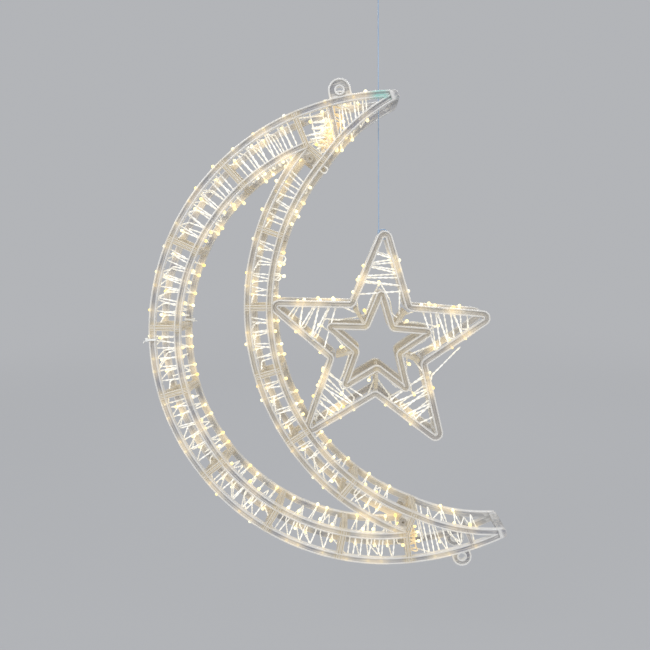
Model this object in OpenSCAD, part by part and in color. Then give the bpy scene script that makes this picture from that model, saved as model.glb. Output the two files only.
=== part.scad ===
// Hanging crescent and star. Clear moulded half frames, closed in pairs, carry
// strings of small lamps that are laced round and round inside them.
// The face of the ornament lies in X and Z and looks along -Y. The origin is on
// the axis of the upper hanging eyes, half way through the frame.

/* [Crescent] */
// Radius of the outer edge of the crescent
outer_r = 284.5; // [278:0.5:291]
// Width of the crescent at its widest
crescent_w = 155.3; // [150:0.1:161]
// How much smaller the radius of the hollow edge is than that of the outer edge
hollow_less = 19.5; // [15:0.1:24]
// Direction in which the crescent opens, in degrees above level
open_angle = 13.6; // [8:0.1:20]
// Mean width of the outer arm
outer_arm_w = 43.9; // [40:0.1:48]
// Shift of the circle of the outer arm's inner edge, which tapers the arm
taper_shift = 6; // [0:0.1:7]
// Direction of that shift, in degrees
taper_angle = 219; // [205:1:230]
// Width of the inner arm
inner_arm_w = 35; // [31:0.5:39]
// Thickness of the whole frame, front to back
frame_t = 64; // [54:1:76]

/* [Frame mouldings] */
// Width of a rail, seen from the front
rail_w = 8.4; // [7:0.1:9.5]
// Thickness of a rail, front to back
rail_t = 7; // [5.5:0.1:9]
// Width of the channel sunk along the face of a rail
channel_w = 4.4; // [3:0.1:5]
// Depth of that channel
channel_d = 2.4; // [1:0.1:3.5]
// Distance of the cross bars, eyes and ends behind the faces of the rails
step_in = 0.4; // [0.2:0.1:0.8]
// Thickness of the end frame where two sections meet
end_t = 3.5; // [2.5:0.1:4.5]
// Gap between the end frames of two sections
seam = 0.3; // [0.2:0.05:0.6]
// Length of the screw plate at each end of the inner arm
plate_len = 14; // [11:0.5:17]
// Diameter of the screw boss in that plate
boss_d = 9; // [7:0.1:11]
// Height of the boss behind the face
boss_h = 12; // [9:0.5:15]
// Diameter of the screw hole
screw_d = 3; // [2:0.1:4]

/* [Horns] */
// How much larger the radius of the upper horn's outer edge is than the arm's
upper_back_more = 35.5; // [20:0.5:55]
// How much larger the radius of the lower horn's outer edge is than the arm's
lower_back_more = 69.5; // [50:0.5:90]
// Height of the upper horn's end above the hollow circle
upper_end_h = 16.9; // [13:0.1:18]
// Height of the lower horn's end above the hollow circle
lower_end_h = 13.4; // [11:0.1:15]
// Length of the blunt face that ends the upper horn
upper_end_w = 9.7; // [8:0.1:11]
// Length of the blunt face that ends the lower horn
lower_end_w = 9.9; // [8:0.1:11]
// Rise of the arc of the upper horn's inner edge over its chord
upper_rise = 7.4; // [5:0.1:9]
// Rise of the arc of the lower horn's inner edge over its chord
lower_rise = 7.2; // [5:0.1:9]
// Radius that rounds the corners of a horn's end
end_round = 3; // [2:0.1:4]
// Distance of the post behind a horn's end face
end_inset = 1.2; // [0.5:0.1:2.5]
// Length of the post that closes a horn at its end
end_post_len = 9; // [7:0.5:12]
// Width of the strut across a horn beside its eye
strut_w = 5.5; // [4:0.1:7]

/* [Hanging eyes] */
// Diameter of the hole in every eye
eye_hole_d = 8; // [6:0.1:9]
// Radius of the lug of the upper eyes
upper_lug_r = 13.4; // [12:0.1:15]
// Distance of the upper eye's hole outside the crescent's edge
upper_eye_out = 7.1; // [6:0.1:9]
// Radius of the lug of the lower eyes
lower_lug_r = 11.8; // [11:0.1:13]
// Distance of the lower eye's hole outside the crescent's edge
lower_eye_out = 4.5; // [4:0.1:6]
// Width of the raised rims round an eye
eye_rim_w = 2.2; // [1.6:0.1:2.6]

/* [Star] */
// Radius to the star's corners before they are rounded
star_corner_r = 156; // [148:0.5:160]
// Radius to the valleys between the star's points
star_valley_r = 63.5; // [60:0.5:68]
// Radius that rounds the star's points
star_round = 9.5; // [7:0.1:11]
// Turn of the star from upright, in degrees
star_turn = -2.8; // [-6:0.1:0]
// Radius to the corners of the inner star before they are rounded
core_corner_r = 78; // [72:0.5:82]
// Radius that rounds the inner star's points
core_round = 6; // [4:0.1:7]
// Thickness of the web from a valley to the inner star
web_t = 4; // [3:0.1:6]
// Height of the window through a web at mid depth, on each side
web_window = 6; // [4:0.5:10]
// Diameter of the round posts that join the star's halves
post_d = 7; // [6:0.1:8]

/* [Lamp strings] */
// Diameter of the string's wire
wire_d = 1.3; // [1:0.1:1.5]
// Spacing of the turns along an arm
turn_pitch = 15; // [13:0.5:20]
// Distance of the first and last turns from the end of a section
turn_margin = 10; // [9:0.5:13]
// Spacing of the turns along a star's point
star_pitch = 19; // [16:0.5:24]
// Diameter of a lamp
lamp_d = 3.2; // [2.6:0.1:3.6]
// Length of a lamp
lamp_len = 5.6; // [4:0.1:7]
// Distance that a slack turn stands out of the inner arm
slack_out = 9; // [4:0.5:11]

/* [Ties and hanging line] */
// Width of a tie's band
tie_w = 2.5; // [2:0.1:3]
// Thickness of a tie's band
tie_t = 1; // [0.7:0.1:1.3]
// Length of the cut tail of a tie
tail_len = 6; // [3:0.5:10]
// Diameter of the hanging line
line_d = 1.2; // [0.8:0.1:1.6]
// Radius of the loop at the top of the line
loop_r = 7; // [5:0.5:10]

/* [Hidden] */

// Places of the section joints along each arm, as shares of its span
outer_shares = [0, 0.127, 0.264, 0.4, 0.507, 0.646, 0.771, 0.892, 1];
inner_shares = [0, 0.197, 0.366, 0.515, 0.674, 0.837, 1];
// Joints of the inner arm beside the star's two tied points
seat_joint = 2;
lower_seat_joint = 4;
// How far those two points would reach into the arm before they are cut to it
seat_bite = 1.2;
lower_seat_bite = 4.7;
// Gap between the star's cut points and the arm
seat_gap = 0.2;
// Distances of the eyes and struts from the joint of the two arms, along the outer edge
upper_eye_run = 58.18;
upper_strut_run = 43.78;
lower_eye_run = 63.94;
lower_strut_run = 81.32;
// Directions of the blunt end faces of the horns, in degrees
upper_end_dir = -65.6;
lower_end_dir = 107.7;
// Distances from that joint to the string's last turns in the horns
upper_last_run = 88.47;
lower_last_run = 96.21;
// Slack turns of the inner string, as shares of the inner arm's span
slack_shares = [0.255, 0.292];
// Lamp gap to the rail behind which it lies, and lamp gap to its wire
lamp_gap = 0.3;
wire_gap = 0.15;
// Shares of a lamp's length and diameter at which its profile turns
sleeve_share = 0.4;
sleeve_d_share = 0.75;
lens_share = 0.82;
tip_d_share = 0.5;
// Spacing of the inner and outer layers of the star's string
layer_gap = 2;
// Radii between which a star point is laced, as shares of its corner radius
lace_from_share = 0.39;
lace_to_share = 0.74;
// Places of the two rail ties: distance past or before a joint of the outer arm
tie_joint = 3;
tie_a_at = 14.7;
tie_d_at = -6.2;
// Clearance of a tie's band round what it holds
tie_gap = 0.3;
// Height of the star ties above and below mid depth
star_tie_z = 12;
// Size of a tie's head along, across and out from its band
head_len = 4.4;
head_out = 3;
// Radius that rounds the inside of the star's points
inner_round = 1.5;
// Overrun of every cut
over = 1;
// Sides of round shapes
round_fn = 48;
arc_fn = 180;
// Points of the star, and the angle between two of them and from one to a valley
star_points = 5;
point_step = 360 / star_points;
valley_step = point_step / 2;

half_t = frame_t / 2;
rail_back = half_t - rail_t;
post_in = rail_w - 2 * seam;
bar_back = rail_back + step_in;
bar_t = rail_t - 2 * step_in;
string_z = rail_back - lamp_gap - lamp_d / 2;
hollow_r = outer_r - hollow_less;
hollow_shift = crescent_w - hollow_less;
upper_back_r = outer_r + upper_back_more;
lower_back_r = outer_r + lower_back_more;

function u(a) = [cos(a), sin(a)];
function ang(p) = atan2(p[1], p[0]);
function turn_up(a) = a < 0 ? a + 360 : a;
function arc_deg(len, r) = len / r * 180 / PI;
// Crossing of two circles, on the left (1) or the right (-1) of the line p to q
function cross2(p, rp, q, rq, side) =
    let (d = norm(q - p), f = acos((rp * rp + d * d - rq * rq) / (2 * rp * d)))
    p + rp * u(ang(q - p) + side * f);
// Distance from p in direction a at which the ray leaves the circle (q, rq)
function ray(p, a, q, rq) =
    let (w = q - p, b = w * u(a)) b + sqrt(rq * rq - w * w + b * b);

// Centres of the hollow circle and of the outer arm's inner edge
c2 = hollow_shift * u(open_angle);
c1 = taper_shift * u(taper_angle);
in_r = outer_r - outer_arm_w;
far_r = hollow_r + inner_arm_w;
rail_mid = rail_w / 2;

// Corners where the two arms join, and the directions of the joints there
join_up = cross2(c1, in_r + rail_mid, c2, far_r - rail_mid, 1);
join_low = cross2(c1, in_r + rail_mid, c2, far_r - rail_mid, -1);
a_up = ang(join_up);
a_low = turn_up(ang(join_low));
b_up = ang(join_up - c2);
b_low = turn_up(ang(join_low - c2));

upper_eye_at = a_up - arc_deg(upper_eye_run, outer_r);
upper_strut_at = a_up - arc_deg(upper_strut_run, outer_r);
lower_eye_at = a_low + arc_deg(lower_eye_run, outer_r);
lower_strut_at = a_low + arc_deg(lower_strut_run, outer_r);
upper_last_at = a_up - arc_deg(upper_last_run, outer_r);
lower_last_at = a_low + arc_deg(lower_last_run, outer_r);

function outer_at(k) = a_up + outer_shares[k] * (a_low - a_up);
function inner_at(k) = b_up + inner_shares[k] * (b_low - b_up);
function outer_in(a) = ray([0, 0], a, c1, in_r);
function outer_mid(a) = ray([0, 0], a, c1, in_r + rail_mid);
function in_at(a) = turn_up(ang(outer_mid(a) * u(a) - c1));

// Centres of the horns' outer edges, which leave the arm's edge at a tangent
up_back = (outer_r - upper_back_r) * u(a_up);
low_back = (outer_r - lower_back_r) * u(a_low);
// Radius from the middle to the outer edge at angle a
function edge_r(a) = a < a_up ? ray([0, 0], a, up_back, upper_back_r)
    : a > a_low ? ray([0, 0], a, low_back, lower_back_r) : outer_r;

// Each horn: end corner, end of its inner edge, and the arc of that edge
up_end = cross2(up_back, upper_back_r, c2, hollow_r + upper_end_h, 1);
up_tip = up_end + upper_end_w * u(upper_end_dir);
up_foot = c2 + hollow_r * u(b_up);
low_end = cross2(low_back, lower_back_r, c2, hollow_r + lower_end_h, -1);
low_tip = low_end + lower_end_w * u(lower_end_dir);
low_foot = c2 + hollow_r * u(b_low);
function arc_r(p, q, rise) = let (h = norm(q - p) / 2) (h * h + rise * rise) / (2 * rise);
// Centre of the arc from p to q that bulges to the left of that direction
function arc_c(p, q, rise) = let (n = u(ang(q - p) - 90)) (p + q) / 2 + (arc_r(p, q, rise) - rise) * n;
up_c = arc_c(up_foot, up_tip, upper_rise);
up_r = arc_r(up_foot, up_tip, upper_rise);
low_c = arc_c(low_tip, low_foot, lower_rise);
low_r = arc_r(low_tip, low_foot, lower_rise);

upper_eye = (edge_r(upper_eye_at) + upper_eye_out) * u(upper_eye_at);
lower_eye = (edge_r(lower_eye_at) + lower_eye_out) * u(lower_eye_at);

// Half angles of the star at its points and at its valleys
point_half = atan2(star_valley_r * sin(valley_step), star_corner_r - star_valley_r * cos(valley_step));
valley_half = 180 - valley_step - point_half;
core_valley_r = core_corner_r * star_valley_r / star_corner_r;
star_tip_r = star_corner_r - star_round * (1 / sin(point_half) - 1);
lane_r = star_corner_r - rail_mid / sin(point_half);
function star_axis(m) = 90 + star_turn + point_step * m;
// The star's middle, from which both its left points just reach the inner arm
star_c = cross2(c2 - star_tip_r * u(star_axis(1)), hollow_r + seat_bite,
    c2 - star_tip_r * u(star_axis(2)), hollow_r + lower_seat_bite, 1);
function post_r(m) = min(star_tip_r - post_d / 2 - eye_rim_w / 2,
    ray(star_c, star_axis(m), c2, hollow_r - seat_gap - post_d / 2 - seam));
function star_post(m) = star_c + post_r(m) * u(star_axis(m));

// Outline of a star set in by cut, with its points rounded
function star_raw(corner, valley, cut) = [for (m = [0:2 * star_points - 1])
    let (r = m % 2 == 0 ? corner - cut / sin(point_half) : valley - cut / sin(valley_half))
    r * u(star_axis(m / 2))];
function corner_arc(a, p, b, r) =
    let (d1 = (a - p) / norm(a - p), d2 = (b - p) / norm(b - p),
        h = acos(d1 * d2) / 2, m = (d1 + d2) / norm(d1 + d2), c = p + m * r / sin(h),
        t1 = p + d1 * r / tan(h) - c, t2 = p + d2 * r / tan(h) - c,
        a1 = ang(t1), s = ang(t2) - a1, w = s > 180 ? s - 360 : s < -180 ? s + 360 : s)
    [for (i = [0:6]) c + r * u(a1 + w * i / 6)];
function star_pts(corner, valley, cut, r) =
    let (p = star_raw(corner, valley, cut), n = len(p))
    [for (m = [0:n - 1]) each (m % 2 == 0
        ? corner_arc(p[(m + n - 1) % n], p[m], p[(m + 1) % n], r) : [p[m]])];

// Ring of the section of a rail, between two angles, thinner by twice the drop
module rail_arc(c, r, a0, a1, drop = 0) {
    side = (rail_w - channel_w) / 2;
    low = rail_back + drop;
    top = half_t - drop;
    translate([c[0], c[1], 0])
        rotate(a0)
            rotate_extrude(angle = a1 - a0, $fn = arc_fn)
                polygon([[r, low], [r + rail_w, low], [r + rail_w, top],
                    [r + rail_w - side, top], [r + rail_w - side, top - channel_d],
                    [r + side, top - channel_d], [r + side, top], [r, top]]);
}

// End frame on the ray at angle a: a bar between the rails and two half posts
module end_frame(c, a, r0, r1, dir, posts) {
    translate([c[0], c[1], 0])
        rotate(a)
            translate([0, dir > 0 ? seam / 2 : -seam / 2 - end_t, 0]) {
                translate([r0 + seam, 0, bar_back])
                    cube([r1 - r0 - 2 * seam, end_t, bar_t]);
                if (posts[0])
                    translate([r0 + seam, 0, 0])
                        cube([post_in, end_t, rail_back + rail_t / 2]);
                if (posts[1])
                    translate([r1 - seam - post_in, 0, 0])
                        cube([post_in, end_t, rail_back + rail_t / 2]);
            }
}

// Front half of section k of the outer arm
module outer_half(k) {
    a0 = outer_at(k);
    a1 = outer_at(k + 1);
    rail_arc([0, 0], outer_r - rail_w, a0, a1);
    rail_arc(c1, in_r, in_at(a0), in_at(a1));
    end_frame([0, 0], a0, outer_in(a0), outer_r, 1, [true, true]);
    end_frame([0, 0], a1, outer_in(a1), outer_r, -1, [true, true]);
}

// Screw plate and boss of the inner arm, dir past the joint at angle b
module screw_plate(b, dir) {
    mid = (hollow_r + far_r) / 2;
    plate = arc_deg(plate_len, mid);
    translate([c2[0], c2[1], 0])
        rotate(dir > 0 ? b : b - plate)
            rotate_extrude(angle = plate, $fn = arc_fn)
                polygon([[hollow_r + rail_mid, rail_back + rail_t / 2],
                    [far_r - rail_mid, rail_back + rail_t / 2],
                    [far_r - rail_mid, half_t - channel_d - step_in],
                    [hollow_r + rail_mid, half_t - channel_d - step_in]]);
}

module screw_boss(b, dir, d, low, high) {
    mid = (hollow_r + far_r) / 2;
    at = c2 + mid * u(b + dir * arc_deg(plate_len - boss_d / 2, mid));
    translate([at[0], at[1], low])
        cylinder(h = high - low, d = d, $fn = round_fn);
}

// Front half of section k of the inner arm; its end sections are cut to the outer arm
module inner_half(k) {
    b0 = inner_at(k);
    b1 = inner_at(k + 1);
    first = k == 0;
    last = k == len(inner_shares) - 2;
    intersection() {
        difference() {
            union() {
                rail_arc(c2, far_r - rail_w, b0, b1);
                rail_arc(c2, hollow_r, b0, b1);
                end_frame(c2, b0, hollow_r, far_r, 1, [true, true]);
                end_frame(c2, b1, hollow_r, far_r, -1, [true, true]);
                if (first) screw_plate(b0, 1);
                if (first) screw_boss(b0, 1, boss_d, half_t - boss_h, half_t);
                if (last) screw_plate(b1, -1);
                if (last) screw_boss(b1, -1, boss_d, half_t - boss_h, half_t);
            }
            if (first) screw_boss(b0, 1, screw_d, half_t - boss_h - over, half_t + over);
            if (last) screw_boss(b1, -1, screw_d, half_t - boss_h - over, half_t + over);
        }
        if (first || last)
            translate([c1[0], c1[1], 0])
                cylinder(h = half_t + over, r = in_r - seam, $fn = arc_fn);
    }
}

// Lug of a hanging eye without its hole, at angle a of the outer circle
module lug(a, out, r) {
    rotate(a)
        translate([edge_r(a), 0, bar_back]) {
            translate([out, 0, 0])
                cylinder(h = bar_t, r = r, $fn = round_fn);
            translate([-rail_mid, -r, 0])
                cube([rail_mid + out, 2 * r, bar_t]);
        }
}

module eye_cut(a, out, r) {
    rotate(a)
        translate([edge_r(a) + out, 0, 0]) {
            translate([0, 0, rail_back - over])
                cylinder(h = rail_t + 2 * over, d = eye_hole_d, $fn = round_fn);
            translate([0, 0, half_t - channel_d - step_in])
                difference() {
                    cylinder(h = channel_d + step_in + over, r = r - eye_rim_w, $fn = round_fn);
                    translate([0, 0, -over])
                        cylinder(h = channel_d + 3 * over, r = eye_hole_d / 2 + eye_rim_w, $fn = round_fn);
                    translate([-r - out - rail_w / 4, -r, -over])
                        cube([r, 2 * r, channel_d + 3 * over]);
                }
        }
}

// Strut along the ray at angle a, from the inner edge (c, r) to the outer rail
module strut(a, c, r) {
    r0 = ray([0, 0], a, c, r + rail_mid);
    rotate(a)
        translate([r0, -strut_w / 2, bar_back])
            cube([edge_r(a) - rail_mid - r0, strut_w, bar_t - channel_d / 2]);
}

// Outline of a horn's end: its two corners, rounded, and the two edges behind,
// drawn in by inset; the end runs len back along the edges (bc, br) and (c, r)
function end_pts(end, tip, bc, br, c, r, dir, len, inset, round) =
    let (q = [bc + (br - inset) * u(ang(end - bc) + dir * arc_deg(len, br)),
        end + inset * u(ang(bc - end)) + inset * u(ang(c - tip) + dir * 90),
        tip + inset * u(ang(tip - c)) + inset * u(ang(c - tip) + dir * 90),
        c + (r + inset) * u(ang(tip - c) + dir * arc_deg(len, r))])
    concat([q[0]], corner_arc(q[0], q[1], q[2], round), corner_arc(q[1], q[2], q[3], round), [q[3]]);

module horn_end(end, tip, bc, br, c, r, dir) {
    translate([0, 0, bar_back])
        linear_extrude(bar_t)
            polygon(end_pts(end, tip, bc, br, c, r, dir, end_post_len, 0, end_round));
    linear_extrude(rail_back + rail_t / 2)
        polygon(end_pts(end, tip, bc, br, c, r, dir, end_post_len - seam, end_inset, end_round / 2));
}

// Space past the inner arm's joint at angle b, where its end section's rail lies
module joint_cut(b, dir) {
    translate([c2[0], c2[1], rail_back - over])
        rotate(b)
            translate([hollow_r - over, dir > 0 ? 0 : -inner_arm_w, 0])
                cube([inner_arm_w - 2 * rail_w, inner_arm_w, rail_t + 2 * over]);
}

module upper_horn_half() {
    back = arc_deg(end_post_len - seam, upper_back_r);
    inner = arc_deg(end_post_len - seam, up_r);
    difference() {
        union() {
            rail_arc(up_back, upper_back_r - rail_w, ang(up_end - up_back) + back, a_up);
            rail_arc(up_c, up_r, ang(up_tip - up_c) + inner, ang(up_foot - up_c), step_in / 2);
            end_frame([0, 0], a_up, outer_in(a_up), outer_r, -1, [true, true]);
            end_frame(c2, b_up, hollow_r, far_r - rail_mid, -1, [true, false]);
            strut(upper_strut_at, up_c, up_r);
            lug(upper_eye_at, upper_eye_out, upper_lug_r);
            horn_end(up_end, up_tip, up_back, upper_back_r, up_c, up_r, 1);
        }
        eye_cut(upper_eye_at, upper_eye_out, upper_lug_r);
        joint_cut(b_up, 1);
    }
}

module lower_horn_half() {
    back = arc_deg(end_post_len - seam, lower_back_r);
    inner = arc_deg(end_post_len - seam, low_r);
    difference() {
        union() {
            rail_arc(low_back, lower_back_r - rail_w, a_low, turn_up(ang(low_end - low_back)) - back);
            rail_arc(low_c, low_r, turn_up(ang(low_foot - low_c)),
                turn_up(ang(low_tip - low_c)) - inner, step_in / 2);
            end_frame([0, 0], a_low, outer_in(a_low), outer_r, 1, [true, true]);
            end_frame(c2, b_low, hollow_r, far_r - rail_mid, 1, [true, false]);
            strut(lower_strut_at, low_c, low_r);
            lug(lower_eye_at, lower_eye_out, lower_lug_r);
            horn_end(low_end, low_tip, low_back, lower_back_r, low_c, low_r, -1);
        }
        eye_cut(lower_eye_at, lower_eye_out, lower_lug_r);
        joint_cut(b_low, -1);
    }
}

// Flat ring of the section of a rail that follows a star's outline
module star_rail(corner, valley, r) {
    side = (rail_w - channel_w) / 2;
    difference() {
        translate([0, 0, rail_back])
            linear_extrude(rail_t)
                polygon(star_pts(corner, valley, 0, r));
        translate([0, 0, rail_back - over])
            linear_extrude(rail_t + 2 * over)
                polygon(star_pts(corner, valley, rail_w, inner_round));
        translate([0, 0, half_t - channel_d])
            linear_extrude(channel_d + over)
                difference() {
                    polygon(star_pts(corner, valley, side, r - side));
                    polygon(star_pts(corner, valley, rail_w - side, inner_round + side));
                }
    }
}

// Front half of the star's outer ring, with half posts at its valleys and free
// points; the two points at the arm are cut to the arm and posted beside it
module star_ring_half() {
    valley_post = star_valley_r - rail_mid / sin(valley_half);
    intersection() {
        translate([star_c[0], star_c[1], 0]) {
            star_rail(star_corner_r, star_valley_r, star_round);
            for (m = [0:star_points - 1]) {
                rotate(star_axis(m))
                    translate([post_r(m), 0, 0])
                        cylinder(h = rail_back + rail_t / 2, d = post_d, $fn = round_fn);
                rotate(star_axis(m) + valley_step)
                    translate([valley_post, 0, 0])
                        cylinder(h = rail_back + rail_t / 2, d = post_d, $fn = round_fn);
            }
        }
        translate([c2[0], c2[1], -over])
            cylinder(h = half_t + 2 * over, r = hollow_r - seat_gap, $fn = arc_fn);
    }
}

// Front half of the inner star with its five webs, which end at the valleys
module star_core_half() {
    from = core_valley_r - rail_mid / sin(valley_half);
    translate([star_c[0], star_c[1], 0]) {
        star_rail(core_corner_r, core_valley_r, core_round);
        intersection() {
            for (m = [0:star_points - 1])
                rotate(star_axis(m) + valley_step)
                    translate([from, -web_t / 2, web_window])
                        cube([star_valley_r - from, web_t, half_t - channel_d - step_in - web_window]);
            linear_extrude(half_t)
                polygon(star_pts(star_corner_r, star_valley_r, rail_w + seat_gap, inner_round));
        }
    }
}

// Points of the lacing: four corners a turn, front outer, front inner, back
// inner, back outer, each a quarter of the pitch further along
function lace(c, outer_f, inner_f, a0, a1, n, q_end) = [for (j = [0:4 * n - 1 - q_end])
    let (a = a0 + (a1 - a0) * j / (4 * n - 1 - q_end), q = j % 4, out = q == 0 || q == 3,
        r = out ? outer_f : inner_f)
    [a, out, q < 2 ? string_z : -string_z]];
function turns(deg, r) = max(1, round(deg / arc_deg(turn_pitch, r)));

// Outer string: stations as [angle, outer side, z] in the upper horn, the eight
// sections and the lower horn
up_first = ang(up_foot) - arc_deg(turn_margin, norm(up_foot));
low_first = turn_up(ang(low_foot)) + arc_deg(turn_margin, norm(low_foot));
function spans(n) = let (m = arc_deg(turn_margin, outer_r)) concat(
    [[upper_last_at, up_first]],
    [for (k = [0:n - 1]) [outer_at(k) + m, outer_at(k + 1) - m]],
    [[low_first, lower_last_at]]);
outer_stations = [for (s = spans(len(outer_shares) - 1))
    each lace([0, 0], 0, 0, s[0], s[1], turns(s[1] - s[0], outer_r), 0)];
function outer_edge(a) = a < a_up ? ray([0, 0], a, up_c, up_r + rail_mid)
    : a > a_low ? ray([0, 0], a, low_c, low_r + rail_mid) : outer_mid(a);
outer_path = [for (s = outer_stations)
    let (p = (s[1] ? edge_r(s[0]) - rail_mid : outer_edge(s[0])) * u(s[0])) [p[0], p[1], s[2]]];
outer_ref = [for (s = outer_stations) [-sin(s[0]), cos(s[0]), 0]];
outer_dir = [for (s = outer_stations) (s[1] ? 1 : -1) * u(s[0])];

// Inner string: the same between the places where the two arms are clear of
// each other
clear_r = lamp_len / 2 + wire_d;
clear_up = ang(cross2(c1, in_r - clear_r, c2, far_r + clear_r, 1) - c2);
clear_low = turn_up(ang(cross2(c1, in_r - clear_r, c2, far_r + clear_r, -1) - c2));
function inner_spans(n) = let (m = arc_deg(turn_margin, hollow_r)) [for (k = [0:n - 1])
    [k == 0 ? max(clear_up, b_up + arc_deg(plate_len + lamp_d, hollow_r)) : inner_at(k) + m,
        k == n - 1 ? min(clear_low, b_low - arc_deg(plate_len + lamp_d, hollow_r)) : inner_at(k + 1) - m]];
inner_stations = [for (s = inner_spans(len(inner_shares) - 1))
    each lace(c2, 0, 0, s[0], s[1], turns(s[1] - s[0], hollow_r), 0)];
function slack(s) = s[1] ? 0 : len([for (h = slack_shares)
    if (abs(s[0] - b_up - h * (b_low - b_up)) < arc_deg(turn_pitch / 7, hollow_r)) 1]) > 0 ? slack_out : 0;
inner_path = [for (s = inner_stations)
    let (p = c2 + (s[1] ? far_r - rail_mid : hollow_r + rail_mid - slack(s)) * u(s[0])) [p[0], p[1], s[2]]];
inner_ref = [for (s = inner_stations) [-sin(s[0]), cos(s[0]), 0]];
inner_dir = [for (s = inner_stations) (s[1] ? 1 : -1) * u(s[0])];

// Star string: each point is laced outwards and, one layer further in, back
// again, then the string passes the web's window to the next point
lace_turns = max(1, round((lace_to_share - lace_from_share) * star_corner_r / star_pitch));
lace_n = 4 * lace_turns;
function point_spot(m, rho, left, z, layer) =
    let (w = (lane_r - rho) * tan(point_half) - layer * layer_gap,
        p = star_c + rho * u(star_axis(m)) + (left ? w : -w) * u(star_axis(m) + 90))
    [p[0], p[1], sign(z) * (string_z - layer * layer_gap)];
function point_path(m) = concat(
    [for (j = [0:lace_n - 1])
        let (rho = star_corner_r * (lace_from_share + (lace_to_share - lace_from_share) * j / lace_n))
        point_spot(m, rho, j % 4 == 0 || j % 4 == 3, j % 4 < 2 ? 1 : -1, 0)],
    [for (j = [0:lace_n - 2])
        let (rho = star_corner_r * (lace_to_share - (lace_to_share - lace_from_share) * (j + 0.5) / lace_n))
        point_spot(m, rho, j % 4 == 0 || j % 4 == 3, j % 4 < 2 ? 1 : -1, 1)]);
function valley_spot(m) =
    let (r = (star_valley_r - rail_w / sin(valley_half) + core_valley_r) / 2,
        p = star_c + r * u(star_axis(m) - valley_step))
    [p[0], p[1], 0];
point_order = [1, 0, 4, 3, 2];
star_path = [for (i = [0:4]) each concat(point_path(point_order[i]),
    i < 4 ? [valley_spot(point_order[i])] : [])];
star_ref = [for (i = [0:4]) each concat(
    [for (j = [1:2 * lace_n - 1]) [cos(star_axis(point_order[i])), sin(star_axis(point_order[i])), 0]],
    i < 4 ? [concat(u(star_axis(point_order[i]) - valley_step), [0])] : [])];

// Least distance from a path's segments to its later ones, less the wire itself
function seg_gap(p, a, b) = let (d = b - a, t = max(0, min(1, (p - a) * d / (d * d)))) norm(p - a - t * d);
function least_gap(path, d) = min([for (i = [0:len(path) - 4], j = [i + 2:min(i + 14, len(path) - 2)], t = [0:4])
    if (j > i + 1 || t < 4) seg_gap(path[i] + (path[i + 1] - path[i]) * t / 4, path[j], path[j + 1])]) - d;

// Tube of diameter d swept along a path, with rings set square to the bend
module swept(path, ref, d, sides) {
    n = len(path);
    rings = [for (i = [0:n - 1])
        let (di = i > 0 ? path[i] - path[i - 1] : path[1] - path[0],
            dd = i < n - 1 ? path[i + 1] - path[i] : path[n - 1] - path[n - 2],
            a = di / norm(di), b = dd / norm(dd), s = a + b, t = s / norm(s),
            bend = cross(a, b), k = norm(bend) < 0.001 ? cross(ref[i], t) : cross(bend, t),
            x0 = k / norm(k), y0 = cross(t, x0), wide = 1 / sqrt((1 + a * b) / 2),
            q = cross(t, ref[i]), x = q / norm(q), y = cross(t, x))
        [for (m = [0:sides - 1])
            let (v = d / 2 * (cos(360 * m / sides) * x + sin(360 * m / sides) * y))
            path[i] + v + (wide - 1) * (v * x0) * x0]];
    polyhedron([for (r = rings) each r], concat(
        [[for (m = [sides - 1:-1:0]) m]],
        [for (i = [0:n - 2], m = [0:sides - 1]) let (e = (m + 1) % sides)
            each [[i * sides + m, i * sides + e, (i + 1) * sides + e],
                [i * sides + m, (i + 1) * sides + e, (i + 1) * sides + m]]],
        [[for (m = [0:sides - 1]) (n - 1) * sides + m]]));
}

module lamp() {
    rotate_extrude($fn = 16)
        polygon([[0, 0], [sleeve_d_share * lamp_d / 2, 0],
            [sleeve_d_share * lamp_d / 2, sleeve_share * lamp_len],
            [lamp_d / 2, sleeve_share * lamp_len], [lamp_d / 2, lens_share * lamp_len],
            [tip_d_share * lamp_d / 2, lamp_len], [0, lamp_len]]);
}

// Whether a lamp at this point of a string would stand in the way of an eye
function at_eye(p) = let (q = [p[0], p[1]])
    min(norm(q - upper_eye), norm(q - lower_eye)) < eye_hole_d / 2 + lamp_len + wire_d;

// Lamps at two corners of every three, pointing out through the side
module lamps(path, dirs) {
    base = wire_d / sqrt(2) + wire_gap;
    for (i = [0:len(path) - 1])
        if (i % 3 < 2 && !at_eye(path[i]))
            translate(path[i] + base * [dirs[i][0], dirs[i][1], 0])
                rotate([0, 90, ang(dirs[i])])
                    lamp();
}

// Band that holds a round post and the two end posts beside it, with its head
module star_tie(joint, m) {
    b = inner_at(joint);
    arm = c2 + (hollow_r + rail_mid) * u(b);
    post = star_post(m);
    away = ang(post - arm);
    for (z = [star_tie_z, -star_tie_z])
        translate([0, 0, z - tie_w / 2]) {
            linear_extrude(tie_w)
                difference() {
                    tie_hull(arm, b, post, tie_gap + tie_t);
                    tie_hull(arm, b, post, tie_gap);
                }
            translate([post[0], post[1], 0])
                rotate(away)
                    translate([post_d / 2 + tie_gap + tie_t / 2, -head_len / 2, -(head_len - tie_w) / 2])
                        cube([head_out + tie_t / 2, head_len, head_len]);
            translate([post[0], post[1], 0])
                rotate(away)
                    translate([post_d / 2 + tie_gap + head_out, -tie_t / 2, 0])
                        cube([tail_len + tie_t, tie_t, tie_w]);
        }
}

module tie_hull(arm, b, post, grow) {
    side = end_t + seam / 2 + grow;
    hull() {
        translate([post[0], post[1], 0])
            circle(d = post_d + 2 * grow, $fn = 32);
        translate([arm[0], arm[1], 0])
            rotate(b)
                square([post_in + 2 * grow, 2 * side], center = true);
    }
}

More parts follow.
